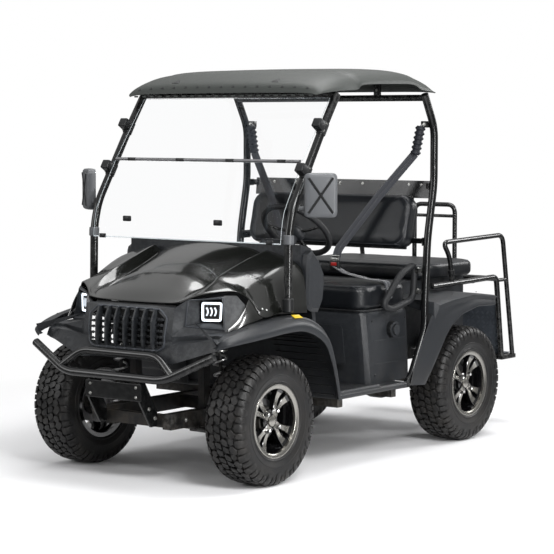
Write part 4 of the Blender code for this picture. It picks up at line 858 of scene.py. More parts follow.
def grown(outline, width):
    """The outline, which runs anticlockwise, with its sides moved outwards."""
    points = [Vector(point) for point in outline]
    ring = []
    for before, point, after in zip(points[-1:] + points[:-1], points, points[1:] + points[:1]):
        ahead, behind = (after - point).normalized(), (point - before).normalized()
        middle = Vector((ahead.y + behind.y, -ahead.x - behind.x))
        ring.append(tuple(point + middle * (2 * width / middle.length_squared)))
    return ring


def bolt(start, direction, radius=0.0045):
    """A hexagon head on its washer, standing out from a surface."""
    place = aimed(start, Vector(start) + Vector(direction))
    washer = ((0, 0.0016), (radius * 1.9, 0.0016), (radius * 2.05, 0), (0, 0))
    head = ((0, 0.0062), (radius * 1.1, 0.0062), (radius * 1.35, 0.0045), (radius * 1.35, 0.001), (0, 0.001))
    return Kit("zinc", turned(washer, 20, place), turned(head, 6, place))


def rivet(start, direction, radius=0.005, material="buckle_black"):
    """A push rivet's low dome."""
    dome = ((0, 0.0026), (radius * 0.55, 0.0022), (radius * 0.9, 0.0011), (radius, 0), (0, 0))
    return Kit(material, turned(dome, 20, aimed(start, Vector(start) + Vector(direction))))


def cast(mesh, spots, way, lift):
    """The spots thrown along one way onto the mesh, and lifted back off its surface."""
    tree = BVHTree.FromPolygons([v.co for v in mesh.vertices], [p.vertices for p in mesh.polygons])
    way = Vector(way)
    hits = [tree.ray_cast(Vector(spot) - way, way)[0] for spot in spots]
    return [hit - way * lift for hit in hits if hit]


# The spacing of the points on a trim line, along which a lighter tube is laid as a painted edge highlight
TRIM_STEP = 0.004


def along(corners):
    """Evenly spaced points round a closed line."""
    spots = []
    for start, end in zip(corners, corners[1:] + corners[:1]):
        start, end = Vector(start), Vector(end)
        count = max(1, round((end - start).length / TRIM_STEP))
        spots += [start.lerp(end, step / count) for step in range(count)]
    return spots


# Cuts across the hood: Y, and the half line from the middle over the raised band to the edge, as X and Z
HOOD_SECTIONS = (
    (-0.262, ((0, 0.812), (0.10, 0.813), (0.18, 0.815), (0.215, 0.817), (0.235, 0.819), (0.250, 0.821), (0.262, 0.823),
              (0.270, 0.819))),
    (-0.200, ((0, 0.864), (0.11, 0.861), (0.20, 0.853), (0.262, 0.844), (0.292, 0.850), (0.312, 0.855), (0.328, 0.858),
              (0.340, 0.854))),
    (-0.110, ((0, 0.917), (0.12, 0.912), (0.22, 0.891), (0.276, 0.870), (0.308, 0.889), (0.336, 0.897), (0.405, 0.885),
              (0.450, 0.871))),
    (-0.068, ((0, 0.937), (0.12, 0.932), (0.22, 0.907), (0.276, 0.884), (0.307, 0.908), (0.335, 0.917), (0.440, 0.884),
              (0.504, 0.838))),
    (-0.030, ((0, 0.952), (0.12, 0.946), (0.22, 0.919), (0.276, 0.893), (0.306, 0.925), (0.333, 0.934), (0.450, 0.890),
              (0.548, 0.757))),
    (0.080, ((0, 0.996), (0.12, 0.990), (0.22, 0.960), (0.280, 0.928), (0.311, 0.963), (0.339, 0.970), (0.480, 0.925),
             (0.553, 0.760))),
    (0.190, ((0, 1.030), (0.12, 1.025), (0.23, 1.000), (0.290, 0.964), (0.321, 0.997), (0.350, 1.003), (0.505, 0.950),
             (0.553, 0.756))),
    (0.275, ((0, 1.048), (0.12, 1.043), (0.24, 1.026), (0.302, 0.994), (0.332, 1.019), (0.358, 1.024), (0.515, 0.958),
             (0.553, 0.752))),
    (0.300, ((0, 1.050), (0.12, 1.045), (0.24, 1.030), (0.302, 1.006), (0.333, 1.012), (0.360, 1.012), (0.518, 0.955),
             (0.553, 0.750))),
)
# The folded side panel: columns of points from its lower edge up, from the lamp back
HOOD_SIDE = (
    ((0.480, -0.190, 0.697), (0.478, -0.189, 0.702), (0.477, -0.188, 0.706)),
    ((0.506, -0.150, 0.708), (0.502, -0.148, 0.725), (0.495, -0.146, 0.742)),
    ((0.524, -0.110, 0.726), (0.518, -0.107, 0.757), (0.506, -0.104, 0.790)),
    ((0.5400, -0.068, 0.738), (0.528, -0.065, 0.784), (0.504, -0.062, 0.834)),
    ((0.5480, -0.024, 0.750), (0.539, -0.024, 0.768), (0.527, -0.024, 0.787)),
)


def hood():
    """The glossy clamshell, with small black plates in its valleys painted as the shade of gill recesses, and a few
    fasteners.
    """
    rows = [mirrored_row(half, y) for y, half in HOOD_SECTIONS]
    meshes = Kit("hood_paint", shell(flowing_rows(rows, 5), SKIN, 0.0012))
    meshes.add("grip_rubber", tube([(-0.235, -0.243, 0.7985), (0.235, -0.243, 0.7985)], 0.0085, sides=10))
    for side in (-1, 1):
        rows = [[Vector((side * (x + 0.0006), y, z)) for x, y, z in row[::-side]] for row in HOOD_SIDE]
        meshes.add("hood_paint", shell(flowing_rows(rows, across=3), SKIN, 0.0012))
        for x, y, z in ((0.537, -0.014, 0.790), (0.5405, 0.012, 0.783), (0.5405, 0.270, 0.800)):
            meshes += rivet((side * x, y, z), (side * 0.9, 0, 0.45), 0.0048, "plastic_white")
        # Small black plates lying in each valley: painted shade standing in for pressed gills
        for count in range(3):
            place = at(side * (0.2775 + 0.003 * count), 0.020 + 0.052 * count, 0.9075 + 0.0175 * count) @ spin(0.32, "X")
            meshes.add("buckle_black", placed(block((0, 0, 0), (0.006, 0.019, 0.0015), 0.0012), place))
    piece("hood_shell", meshes, replaces="hood", angle=45)


# The light ring and the marks lie on the lamp's swept plane
LAMP_OUTLINE = ((-0.053, -0.046), (0.043, -0.046), (0.048, 0.045), (-0.053, 0.045))
LAMP_CENTRE = (0.378, -0.168, 0.779)


def headlamp(name, side):
    """A dark bowl with a glowing ring and three curved marks in it."""
    def line(inset, radius):
        return softened(grown(LAMP_OUTLINE, -inset), radius)

    meshes = Kit("lamp_bowl", plate(softened(LAMP_OUTLINE, 0.016), 0.046, at(0, 0, 0.026), bevel=0.001),
                 plate(softened(LAMP_OUTLINE, 0.016), 0.006, at(0, 0, 0.0015), [line(0.003, 0.015)]))
    meshes.add("lamp_light", plate(line(0.0032, 0.015), 0.008, at(0, 0, 0.0005), [line(0.0118, 0.010)], 0.0015))
    meshes.add("chrome", plate(line(0.015, 0.008), 0.005, at(0, 0, 0.0015), [line(0.017, 0.007)]))
    arc = [polar(0.030, angle) for angle in range(-42, 43, 7)] + [polar(0.0235, angle) for angle in range(42, -43, -7)]
    for count in range(3):
        meshes.add("lamp_mark", plate(arc, 0.006, at(0.0185 * (count - 1) - 0.030), bevel=0.0008))
    meshes.place(handed(side) @ at(*LAMP_CENTRE) @ leaning(25, "Z") @ FACING)
    piece(f"headlamp_{name}_lights", meshes, replaces=f"headlamp_{name}", angle=35)


GRILLE_PITCH = 0.0545
GRILLE_FRAME = ((-0.192, 0.606), (0.192, 0.606), (0.220, 0.622), (0.2305, 0.752), (0.184, 0.789), (-0.184, 0.789),
                (-0.2305, 0.752), (-0.220, 0.622))
BAY_RIM = ((0.297, 0.716), (0.449, 0.705), (0.4305, 0.843), (0.301, 0.831))


def cowl():
    """The matt nose with its facets' edges eased, lighter tubes round the grille frame and lamp bays as a painted edge
    highlight, and rows of small teeth between the kinked bars.
    """
    meshes = Kit("matt_plastic", copy_of("front_cowl"))
    # Lighter tubes laid round the grille frame and the lamp bays: a painted highlight along these edges
    rims = [(softened(GRILLE_FRAME, 0.02), 0.0042)] + [([(side * x, z) for x, z in BAY_RIM], 0.0022) for side in (-1, 1)]
    for outline, radius in rims:
        spots = cast(meshes[0], [(x, 0, z) for x, z in along(outline)], (0, 1, 0), 0.0004)
        meshes.add("edge_highlight_plastic", tube(spots, radius, sides=10, closed=True))
    meshes.add("buckle_black", box((-0.105, -0.272, 0.622), (0.196, -0.268, 0.776)))
    fin = box((-0.105, -0.2745, 0.626), (0.196, -0.2715, 0.6275))
    meshes.append(repeated("row", fin, "buckle_black", 25, (0, 0, 0.006)))
    tooth = plate([(0.004, 0), (0.020, -0.003), (0.028, 0.004), (0.020, 0.011), (0.004, 0.008)], 0.006, bevel=0.0008)
    for count in range(8):
        for row in range(5):
            for hand in (-1, 1):
                place = at(GRILLE_PITCH * (count - 3.5 - hand / 2), -0.317 + 0.003 * row, 0.636 + 0.026 * row) @ FACING
                meshes.add("matt_plastic", placed(tooth.copy(), place @ handed(hand)))
    piece("front_cowl_moulding", meshes, replaces="front_cowl", angle=24, bevel=0.0016)


# The flare's stations from the front: Y and Z of its edge, its rise, and its outer and inner reach
ARCH_FRONT = (
    (-0.325, 0.630, 0.012, 0.535, 0.5205), (-0.297, 0.646, 0.030, 0.575, 0.5205), (-0.217, 0.657, 0.045, 0.600, 0.5205),
    (-0.093, 0.670, 0.056, 0.620, 0.5205), (0.065, 0.683, 0.062, 0.628, 0.340), (0.180, 0.680, 0.066, 0.630, 0.300),
    (0.280, 0.648, 0.066, 0.630, 0.300), (0.350, 0.600, 0.058, 0.630, 0.300), (0.400, 0.520, 0.045, 0.626, 0.300),
    (0.440, 0.425, 0.030, 0.622, 0.300), (0.470, 0.332, 0.020, 0.618, 0.300),
)
# The rear panel's stations: the arch's edge and the outer line, each as Y and Z
ARCH_REAR = (
    ((1.185, 0.334), (1.076, 0.340)), ((1.250, 0.400), (1.110, 0.430)), ((1.315, 0.475), (1.190, 0.560)),
    ((1.375, 0.548), (1.268, 0.670)), ((1.435, 0.606), (1.268, 0.742)), ((1.530, 0.652), (1.400, 0.752)),
    ((1.680, 0.682), (1.600, 0.762)), ((1.845, 0.680), (1.850, 0.734)),
)
MARKER_SPOT = (0.601, 0.157, 0.75)


def front_fender(name, side):
    """The flare over a front wheel, its rolled lip, the ribbed liner behind it, its rivets and one marker."""
    rows, lip = [], []
    last = len(ARCH_FRONT) - 1
    for index, (y, z, rise, reach, inner) in enumerate(ARCH_FRONT):
        back, ahead = (Vector(ARCH_FRONT[place][:2]) for place in (max(index - 1, 0), min(index + 1, last)))
        forward = (ahead - back).normalized()
        normal = Vector((-forward.y, forward.x))
        bend = max(reach - 0.060, (reach + inner) / 2)
        profile = ((0.0, reach), (0.45, reach + 0.002), (0.85, reach - 0.022), (1.0, bend), (1.0, inner))
        row = [Vector((side * x, *(Vector((y, z)) + normal * rise * share))) for share, x in profile]
        lip.append(row[0] - Vector((side * 0.004, *(normal * -0.0015))))
        rows.append(row[::side])
    meshes = Kit("matt_plastic", shell(flowing_rows(rows[::-1], 6), SKIN, 0.0012), tube(flowing(lip), 0.0036, sides=10))
    liner = flowing([(y, z) for y, z, *_ in ARCH_FRONT[6:]], 5)
    for y, z in liner[:-1:2]:
        ends = [(side * x, y - 0.004, z - 0.002) for x in (0.320, 0.590)]
        meshes.add("buckle_black", tube(ends, 0.0035, sides=8))
    for y, z in ((-0.16, 0.7165), (0.02, 0.7455), (0.36, 0.6465)):
        meshes += rivet((side * 0.566, y, z), (0, 0.15 if y > 0.2 else -0.05, 1))
    if name == "left":
        x, y, z = MARKER_SPOT
        spots = [(x, y, z), (x - 0.010, y, z), (x + 0.009, y, z), (x, y - 0.025, z), (x, y + 0.025, z)]
        centre, inner, outer, front, rear = cast(meshes[0], spots, (0, 0, -1), 0.0010)
        across, back = (outer - inner).normalized(), (rear - front).normalized()
        turn = Matrix((across, back, across.cross(back).normalized())).transposed().to_4x4()
        label = box((-0.013, -0.029, -0.0008), (0.013, 0.029, 0.0016), 0.0004)
        meshes.add("marker_yellow", placed(label, at(*centre) @ turn))
    piece(f"front_fender_{name}_flare", meshes, replaces=f"front_fender_{name}", angle=40)


def rear_fender(name, side):
    """The panel round a rear wheel with its shelf, a rolled lip and the shut line to the seat base."""
    rows, lip = [], []
    for index, (edge, outer) in enumerate(ARCH_REAR):
        edge, outer = Vector(edge), Vector(outer)
        profile = ((0.604, 0), (0.628, 0.06), (0.622, 0.5), (0.613, 0.93), (0.361 if index > 3 else 0.609, 1))
        row = [Vector((side * x, *edge.lerp(outer, share))) for x, share in profile]
        lip.append(row[0] + Vector((side * 0.004, 0, 0)))
        rows.append(row[::side])
    panel = shell([flowing(row, 3) for row in rows[::-1]], SKIN, 0.0014)
    meshes = Kit("matt_plastic", panel, tube(flowing(lip), 0.0038, sides=10))
    for y, z in ((1.300, 0.7015), (1.470, 0.758), (1.700, 0.754)):
        meshes += rivet((side * 0.598, y, z), (0, 0, 1))
    piece(f"rear_fender_{name}_panel", meshes, replaces=f"rear_fender_{name}", angle=30)


def bumper():
    """The bull bar's tubes with capped ends, the blank plate with its bolts, and the brackets."""
    low = [(-0.528, -0.346, 0.600), (-0.290, -0.400, 0.488), (0.290, -0.400, 0.488), (0.528, -0.346, 0.600)]
    loop = [(-0.330, -0.392, 0.508), (-0.225, -0.366, 0.588), (0.225, -0.366, 0.588), (0.330, -0.392, 0.508)]
    board = plate(oblong((-0.165, 0.385), (0.165, 0.462), 0.008), 0.008, at(0, -0.404) @ FACING, bevel=0.0012)
    meshes = Kit("black_steel", tube(low, 0.0194, 0.07, 28, steps=12), tube(loop, 0.017, 0.06, 24, steps=12), board)
    arm = [(-0.404, 0.480), (-0.375, 0.480), (-0.2853, 0.330), (-0.2853, 0.262), (-0.330, 0.262), (-0.404, 0.380)]
    for side in (-1, 1):
        meshes.add("black_steel", plate(softened(arm, 0.006), 0.010, at(side * 0.150) @ SIDEWAYS, bevel=0.0012))
        end, before = (Vector(spot) for spot in low[::side][:1:-1])
        meshes.add("buckle_black", rod(end, end + (end - before).normalized() * 0.0025, 0.0178, 28))
        for z in (0.300, 0.345):
            meshes += bolt((side * 0.1550, -0.300 - (z - 0.300) * 0.9, z), (side, 0, 0))
        for z in (0.402, 0.446):
            meshes += bolt((side * 0.135, -0.408, z), (0, -1, 0), 0.0035)
    piece("front_bumper_bars", meshes, replaces="front_bumper", angle=35)


# Cage and roof

# The pillars' middle lines, as Y and Z
FRONT_PILLAR = ((0.112, 0.772), (0.119, 1.120), (0.150, 1.235), (0.370, 1.579), (0.484, 1.742))
REAR_PILLAR = (
    (1.086, 0.345), (1.130, 0.392), (1.243, 0.600), (1.240, 0.740), (1.262, 1.050), (1.316, 1.310), (1.316, 1.590),
    (1.226, 1.752),
)
# Cuts across the roof: Y, half width, and the heights of the lip and the crown
ROOF_SECTIONS = (
    (0.353, 0.560, 1.739, 1.752), (0.385, 0.585, 1.748, 1.800), (0.500, 0.605, 1.760, 1.845), (0.610, 0.613, 1.766, 1.862),
    (0.670, 0.616, 1.790, 1.868), (0.960, 0.620, 1.798, 1.877), (1.080, 0.620, 1.795, 1.870), (1.150, 0.619, 1.772, 1.860),
    (1.230, 0.616, 1.766, 1.830), (1.262, 0.612, 1.764, 1.790), (1.290, 0.606, 1.762, 1.770),
)
# How the height falls from crown to lip over the half width, in shares
ROOF_SHAPE = ((0.0, 1.0), (0.30, 0.985), (0.58, 0.95), (0.80, 0.84), (0.92, 0.62), (0.985, 0.25), (1.0, 0.0))
PILLAR_X = 0.583
SCREEN_HALF = 0.560


def roof_height(x, y):
    """The roof's outer surface above a point."""
    line = [(place, (half, lip, crown)) for place, half, lip, crown in ROOF_SECTIONS]
    half, lip, crown = (read_line([(place, values[index]) for place, values in line], y) for index in range(3))
    return lip + (crown - lip) * read_line(ROOF_SHAPE, min(abs(x) / half, 1.0))


def roof_posts(y, low):
    """Two short posts that carry the roof on a bar, each with a bolted foot."""
    meshes = Kit()
    for x in (-0.300, 0.300):
        top = min(roof_height(x * 1.06, y - 0.009), roof_height(x * 1.06, y + 0.009)) - SKIN - 0.003
        foot = box((x - 0.030, y - 0.011, low + 0.010), (x + 0.030, y + 0.011, low + 0.016), 0.001)
        meshes.add("black_steel", box((x - 0.018, y - 0.008, low), (x + 0.018, y + 0.008, top), 0.002), foot)
        meshes += bolt((x, y - 0.008, (low + top) / 2 + 0.006), (0, -1, 0), 0.0035)
    return meshes


def front_cage():
    """Both front pillars with their feet, collars, screen clamps, top bar and roof posts."""
    rake = Vector((0, 0.220, 0.344)).normalized()
    across = Vector((0, rake.z, -rake.y))
    turn = rake.to_track_quat("Z", "Y").to_matrix().to_4x4()
    meshes = Kit("black_steel", tube([(-PILLAR_X, 0.486, 1.744), (PILLAR_X, 0.486, 1.744)], 0.014))
    meshes += roof_posts(0.486, 1.744)
    for side in (1, -1):
        x = side * PILLAR_X
        meshes.add("black_steel", tube([(x, y, z) for y, z in FRONT_PILLAR], 0.019, 0.06, 28))
        meshes.add("buckle_black", rod((x, 0.112, 0.768), (x, 0.112, 0.830), 0.027, 32, 0.004))
        meshes.add("mirror_shell", rod((x, 0.117, 1.070), (x, 0.119, 1.112), 0.024, 32, 0.003))
        for centre in (Vector((x, 0.246, 1.385)), Vector((x, 0.375, 1.586))):
            jaw = placed(block((0, 0, 0), (0.0227, 0.026, 0.022), 0.006, 3), at(*(centre - across * 0.034)) @ turn)
            meshes.add("buckle_black", rod(centre - rake * 0.032, centre + rake * 0.032, 0.0225, 28, 0.003), jaw)
            for shift in (-0.018, 0.018):
                spot = centre - across * 0.012 + rake * shift + Vector((side * 0.0195, 0, 0))
                meshes += bolt(spot, (side, 0, 0), 0.0028)
    piece("front_hoop_tubes", meshes, replaces="front_hoop", angle=35)


HIP_LOOP = ((0.925, 0.735), (1.080, 0.880), (1.205, 0.925), (1.195, 0.752), (1.000, 0.712))


def rear_cage():
    """Both rear pillars, the bar over them, and the padded hip loops with their clamps."""
    meshes = Kit("black_steel", tube([(-PILLAR_X, 1.234, 1.735), (PILLAR_X, 1.234, 1.735)], 0.016))
    meshes += roof_posts(1.234, 1.735)
    for side in (1, -1):
        x, hip = side * PILLAR_X, side * 0.545
        meshes.add("black_steel", tube([(x, y, z) for y, z in REAR_PILLAR], 0.019, 0.07, 28))
        meshes.add("grip_rubber", tube([(hip, y, z) for y, z in HIP_LOOP], 0.0165, 0.06, closed=True))
        for low, high in ((0.775, 0.797), (0.880, 0.902)):
            meshes.add("black_steel", box((hip, 1.190, low), (x - side * 0.004, 1.250, high), 0.003))
            meshes += bolt((x - side * 0.014, 1.200, high), (0, 0, 1), 0.0035)
    piece("rear_hoop_tubes", meshes, replaces="rear_hoop", angle=35)


def roof():
    """The moulded roof with its turned-down lip, black plates painted as the shade of two recesses and of notches along
    its front edge, and teeth along that edge.
    """
    rows = []
    for y, half, lip, crown in ROOF_SECTIONS:
        rows.append(mirrored_row([(share * half, lip + (crown - lip) * height) for share, height in ROOF_SHAPE], y))
    meshes = Kit("roof_plastic", shell(flowing_rows(rows, 5, 5), SKIN, 0.0014))
    # Black plates laid on the surface where there are recesses and notches: painted shade, not cut into the roof
    recess_shade_plates = [(x, 0.404, 0.021, 0.017) for x in (-0.30, 0.30)]
    recess_shade_plates += [(-0.504 + 0.072 * count, 0.367, 0.010, 0.006) for count in range(15)]
    for x, y, wide, deep in recess_shade_plates:
        low, high = cast(meshes[0], [(x, y - 0.004, 1.5), (x, y + 0.004, 1.5)], (0, 0, -1), 0.0)
        outline = softened([(-wide, -deep), (wide, -deep), (wide * 0.35, deep), (-wide * 0.35, deep)], 0.004)
        place = at(*(low + high) / 2) @ spin(math.atan2(high.z - low.z, high.y - low.y), "X")
        meshes.add("buckle_black", plate(outline, 0.002, place, bevel=0.0006))
    tooth = box((-0.010, -0.004, -0.006), (0.010, 0.004, 0.002), 0.0015)
    meshes.append(placed(repeated("row", tooth, "roof_plastic", 22, (0.050, 0, 0)), at(-0.525, 0.3625, 1.7405)))
    piece("roof_moulding", meshes, replaces="roof", angle=40)


# Height and depth of the sheets' middle line, low and high panel
SCREEN_LOW = ((0.086, 1.070), (0.092, 1.120), (0.104, 1.185), (0.130, 1.245), (0.246, 1.432))
SCREEN_HIGH = ((0.256, 1.446), (0.462, 1.728))
# The sheet's edge faces are smaller than this, in square metres
SCREEN_EDGE = 0.003


def screens():
    """The two clear panels, their edge faces paler as a painted highlight, with their hinge bar, latches and bottom
    clips.
    """
    for name, line, steps in (("windscreen_lower", SCREEN_LOW, 6), ("windscreen_upper", SCREEN_HIGH, 1)):
        rows = [[Vector((x, *spot)) for x in (-SCREEN_HALF, 0.0, SCREEN_HALF)] for spot in flowing(line, steps)]
        mesh = painted(shell(rows, 0.004), "clear_sheet")
        # The small edge faces take the pale finish: a painted highlight along the sheet's edges
        mesh.materials.append(MATERIALS["sheet_edge_highlight"])
        for face in mesh.polygons:
            face.material_index = int(face.area < SCREEN_EDGE)
        piece(f"{name}_sheet", [mesh], replaces=name, angle=25)
    meshes = Kit("cast_alloy", tube([(-0.552, 0.246, 1.4385), (0.552, 0.246, 1.4385)], 0.0072, sides=16))
    for centre, half, bevel in (
        *(((x, 0.242, 1.4385), (0.024, 0.0035, 0.008), 0.0015) for x in (-0.45, -0.15, 0.15, 0.45)),
        ((-0.350, 0.0915, 1.161), (0.022, 0.0075, 0.013), 0.004), ((0.200, 0.0905, 1.157), (0.022, 0.0075, 0.013), 0.004),
        *(((x, 0.086, 1.076), (0.016, 0.007, 0.010), 0.002) for x in (-0.500, 0.500)),
    ):
        meshes.add("buckle_black", block(centre, half, bevel))
    piece("windscreen_fittings", meshes, angle=35)


MIRROR_TURN = 38


def mirror(name, side):
    """A side mirror: a ribbed grey housing, its glass facing back, and a jointed arm."""
    sections = []
    for y, inset, corner in ((-0.0220, 0.016, 0.025), (-0.0195, 0.0075, 0.03), (-0.0120, 0.0015, 0.0325),
                             (0.0080, 0.0, 0.0325), (0.0200, 0.001, 0.03), (0.0220, 0.003, 0.0275)):
        wide, high = 0.0745 - inset, 0.0998 - inset
        sections.append([Vector((x, y, z)) for x, z in oblong((-wide, -high), (wide, high), corner, 6)])
    meshes = Kit("mirror_shell", loft(sections))
    for x, y, z in ((0.054, -0.0205, 0.078), (-0.054, -0.0205, 0.078)):
        meshes.add("buckle_black", tube([(-x, y, -z), (x, y, z)], 0.0062, sides=10))
    glass = oblong((-0.067, -0.092), (0.067, 0.092), 0.024, 6)
    meshes.add("mirror_glass", plate(glass, 0.0015, at(0, 0.0225) @ FACING))
    meshes.place(at(side * 0.696, 0.205, 1.290) @ leaning(side * MIRROR_TURN, "Z"))
    arm = [(side * 0.609, 0.158, 1.232), (side * 0.650, 0.172, 1.232), (side * 0.690, 0.200, 1.240)]
    meshes.add("mirror_shell", tube(arm, 0.0095, 0.03, 16))
    foot, half = Vector(arm[0]), Vector((0, 0.006, 0.014))
    meshes.add("buckle_black", rod(foot - half, foot + half, 0.0105, 20))
    piece(f"mirror_{name}_housing", meshes, replaces=f"mirror_{name}", angle=35)


def panels():
    for part in (hood, cowl, bumper, front_cage, rear_cage, roof, screens):
        part()
    for name, side in SIDES:
        for part in (headlamp, front_fender, rear_fender, mirror):
            part(name, side)


# Seats and belts


def plan_ring(half_width, front, rear, radius, steps=6):
    """A rounded rectangle in plan, running round from its rear left corner."""
    ring = []
    for x, y, start in ((half_width, rear, 0), (-half_width, rear, 90), (-half_width, front, 180), (half_width, front, 270)):
        middle = Vector((x - math.copysign(radius, x), y - radius if y == rear else y + radius))
        ring += [middle + Vector(polar(radius, start + 90 * step / steps)) for step in range(steps + 1)]
    return ring


# The pads' cloth: the size of its remeshed faces, the air pressure in it and the frames it settles for
PAD_VOXEL = 0.009
AIR_PRESSURE = 4
SETTLING_FRAMES = 20


def swollen(mesh, limit):
    """The pad's skin under air pressure; no point ends further than the limit from where it began."""
    scene = bpy.context.scene
    skin = linked("pad", mesh)
    even = skin.modifiers.new("even", "REMESH")
    even.mode, even.voxel_size = "VOXEL", PAD_VOXEL
    base = applied(skin)
    skin = linked("pad", base)
    cloth = skin.modifiers.new("skin", "CLOTH").settings
    cloth.use_pressure, cloth.uniform_pressure_force, cloth.effector_weights.gravity = True, AIR_PRESSURE, 0
    for frame_number in range(1, SETTLING_FRAMES + 1):
        scene.frame_set(frame_number)
    blown = applied(skin)
    for start, end in zip(base.vertices, blown.vertices):
        step = end.co - start.co
        step = step * (min(1.0, limit / step.length) if step.length > 0 else 0.0)
        end.co = start.co + step
        end.co.z = max(end.co.z, 0.0)
    scene.frame_set(1)
    return blown


def groove(mesh, line, width, depth):
    """Presses a channel into the top of a pad along a line seen from above."""
    spots = KDTree(len(line))
    for index, spot in enumerate(line):
        spots.insert(Vector((spot.x, spot.y, 0)), index)
    spots.balance()
    for vertex in mesh.vertices:
        away = spots.find(Vector((vertex.co.x, vertex.co.y, 0)))[2]
        if vertex.normal.z > 0.2 and away < width * 2.5:
            vertex.co.z -= depth * math.exp(-((away / width) ** 2))


def pad(name, size, edge, corner, place, body, limit, channels=()):
    """A simulated pad with a welt round its face, sewn channels, and a flat back; it is made lying down."""
    half_width, depth, thickness = size
    sections = []
    for inset, height in ((0.014, 0.0), (0.004, edge * 0.6), (0.004, thickness - edge), (edge * 0.5, thickness - edge * 0.35),
                          (edge * 1.3, thickness - 0.010)):
        ring = plan_ring(half_width - inset, inset, depth - inset, corner)
        sections.append([Vector((*spot, height)) for spot in ring])
    mesh = swollen(loft(sections), limit)
    mesh.shade_smooth()
    inset = edge * 0.85
    line = flowing([Vector((*spot, 0)) for spot in plan_ring(half_width - inset, inset, depth - inset, corner, 8)], 10, True)
    groove(mesh, line, 0.005, 0.0022)
    seams = [[Vector((x, inset + (depth - 2 * inset) * step / 150, 0)) for step in range(151)] for x in channels]
    for seam in seams:
        groove(mesh, seam, 0.006, 0.0045)
    down = (0, 0, -1)
    meshes = Kit("seam_thread", tube(cast(mesh, line, down, 0.0005), 0.0021, sides=8, closed=True))
    meshes.add("seam_thread", *(tube(cast(mesh, seam[::5], down, -0.0006), 0.0012, sides=6) for seam in seams))
    meshes.add("vinyl", mesh)
    meshes.place(place)
    made = piece(f"{name}_pad", meshes, body, name, 60, subdivide=1)


# The back pads' lower edges, as depth and height
BACK_FOOT = (1.262, 0.975)
REAR_BACK_FOOT = (1.338, 0.985)


def seats():
    """The four pads, the steel back frame with its bolts, and a rolled skirt under the front pad."""
    pad("seat_cushion", (0.508, 0.431, 0.124), 0.030, 0.070, at(0, 0.807, 0.7150), "chassis", 0.010, (-0.17, 0.17))
    pad("rear_seat_cushion", (0.430, 0.536, 0.085), 0.026, 0.070, at(0, 1.462, 0.8205), "rear_seat", 0.009, (0.0,))
    for name, half, foot, lean, thickness, facing in (
        ("seat_back", 0.503, BACK_FOOT, 14, 0.084, -1), ("rear_seat_back", 0.433, REAR_BACK_FOOT, 10, 0.074, 1),
    ):
        upright = Matrix(((1, 0, 0, 0), (0, 0, facing, 0), (0, 1, 0, 0), (0, 0, 0, 1)))
        place = at(0, *foot) @ leaning(-lean, "X") @ upright
        pad(name, (half, 1.261 - foot[1], thickness), 0.026, 0.065, place, "chassis", 0.009)
    bolts = Kit()
    for x in (-0.42, -0.28, -0.14, 0.0, 0.14, 0.28, 0.42, 0.492):
        bolts += bolt((x, 1.3422, 1.307), (0, -1, 0.09), 0.0036)
    for x in (-0.430, 0.430):
        for z in (1.024, 1.037):
            bolts += bolt((x, 1.2832, z), (0, -1, 0), 0.0032)
    eased("seat_back_frame", "black_steel", 0.0012, extra=bolts)
    line = [Vector((*spot, 0.7128)) for spot in plan_ring(0.497, 0.830, 1.236, 0.055)]
    piece("seat_skirt", Kit("grip_rubber", tube(line, 0.0052, sides=10, closed=True)), angle=60)


BELT_TOP = (0.528, 1.280, 1.597)
BELT_BOOT_END = (0.501, 1.272, 1.456)
BELT_WIDTH = 0.046
BELT_THICKNESS = 0.0036
# One cut through the webbing, in half widths and half thicknesses
BELT_RING = (
    (1, 0.4), (0.94, 1), (0.08, 1), (0, 0.35), (-0.08, 1), (-0.94, 1), (-1, 0.4), (-1, -0.4), (-0.94, -1), (0.94, -1),
    (1, -0.4),
)
SHOULDER_STRAP = ((0.501, 1.270, 1.462), (0.330, 1.190, 1.240), (0.165, 1.092, 0.985), (0.156, 1.078, 0.915))
LAP_STRAP = ((0.160, 1.076, 0.900), (0.230, 1.062, 0.872), (0.400, 1.025, 0.851), (0.516, 1.010, 0.848), (0.516, 1.030, 0.760))


def webbing(path, side, wide_way):
    """Flat webbing along a path, straight over the path's long stretches, with its length along V."""
    points = rounded_path([Vector((side * x, y, z)) for x, y, z in path], 0.030, 6)
    count = len(points)
    sections, lengths = [], [0.0]
    for index, point in enumerate(points):
        along = (points[min(index + 1, count - 1)] - points[max(index - 1, 0)]).normalized()
        wide = Vector((side * wide_way[0], *wide_way[1:]))
        wide = (wide - along * wide.dot(along)).normalized() * BELT_WIDTH / 2
        thick = along.cross(wide).normalized() * BELT_THICKNESS / 2
        sections.append([point + wide * a + thick * b for a, b in BELT_RING])
        lengths.append(lengths[-1] + (points[min(index + 1, count - 1)] - point).length)
    mesh = loft(sections)
    layer = mesh.uv_layers.new(name="UVMap")
    for loop in mesh.loops:
        spot = mesh.vertices[loop.vertex_index].co
        nearest = min(range(count), key=lambda index: (points[index] - spot).length)
        wide = (sections[nearest][0] - sections[nearest][6]).normalized()
        layer.data[loop.index].uv = ((spot - points[nearest]).dot(wide) / BELT_WIDTH + 0.5, lengths[nearest])
    return painted(mesh, "webbing")


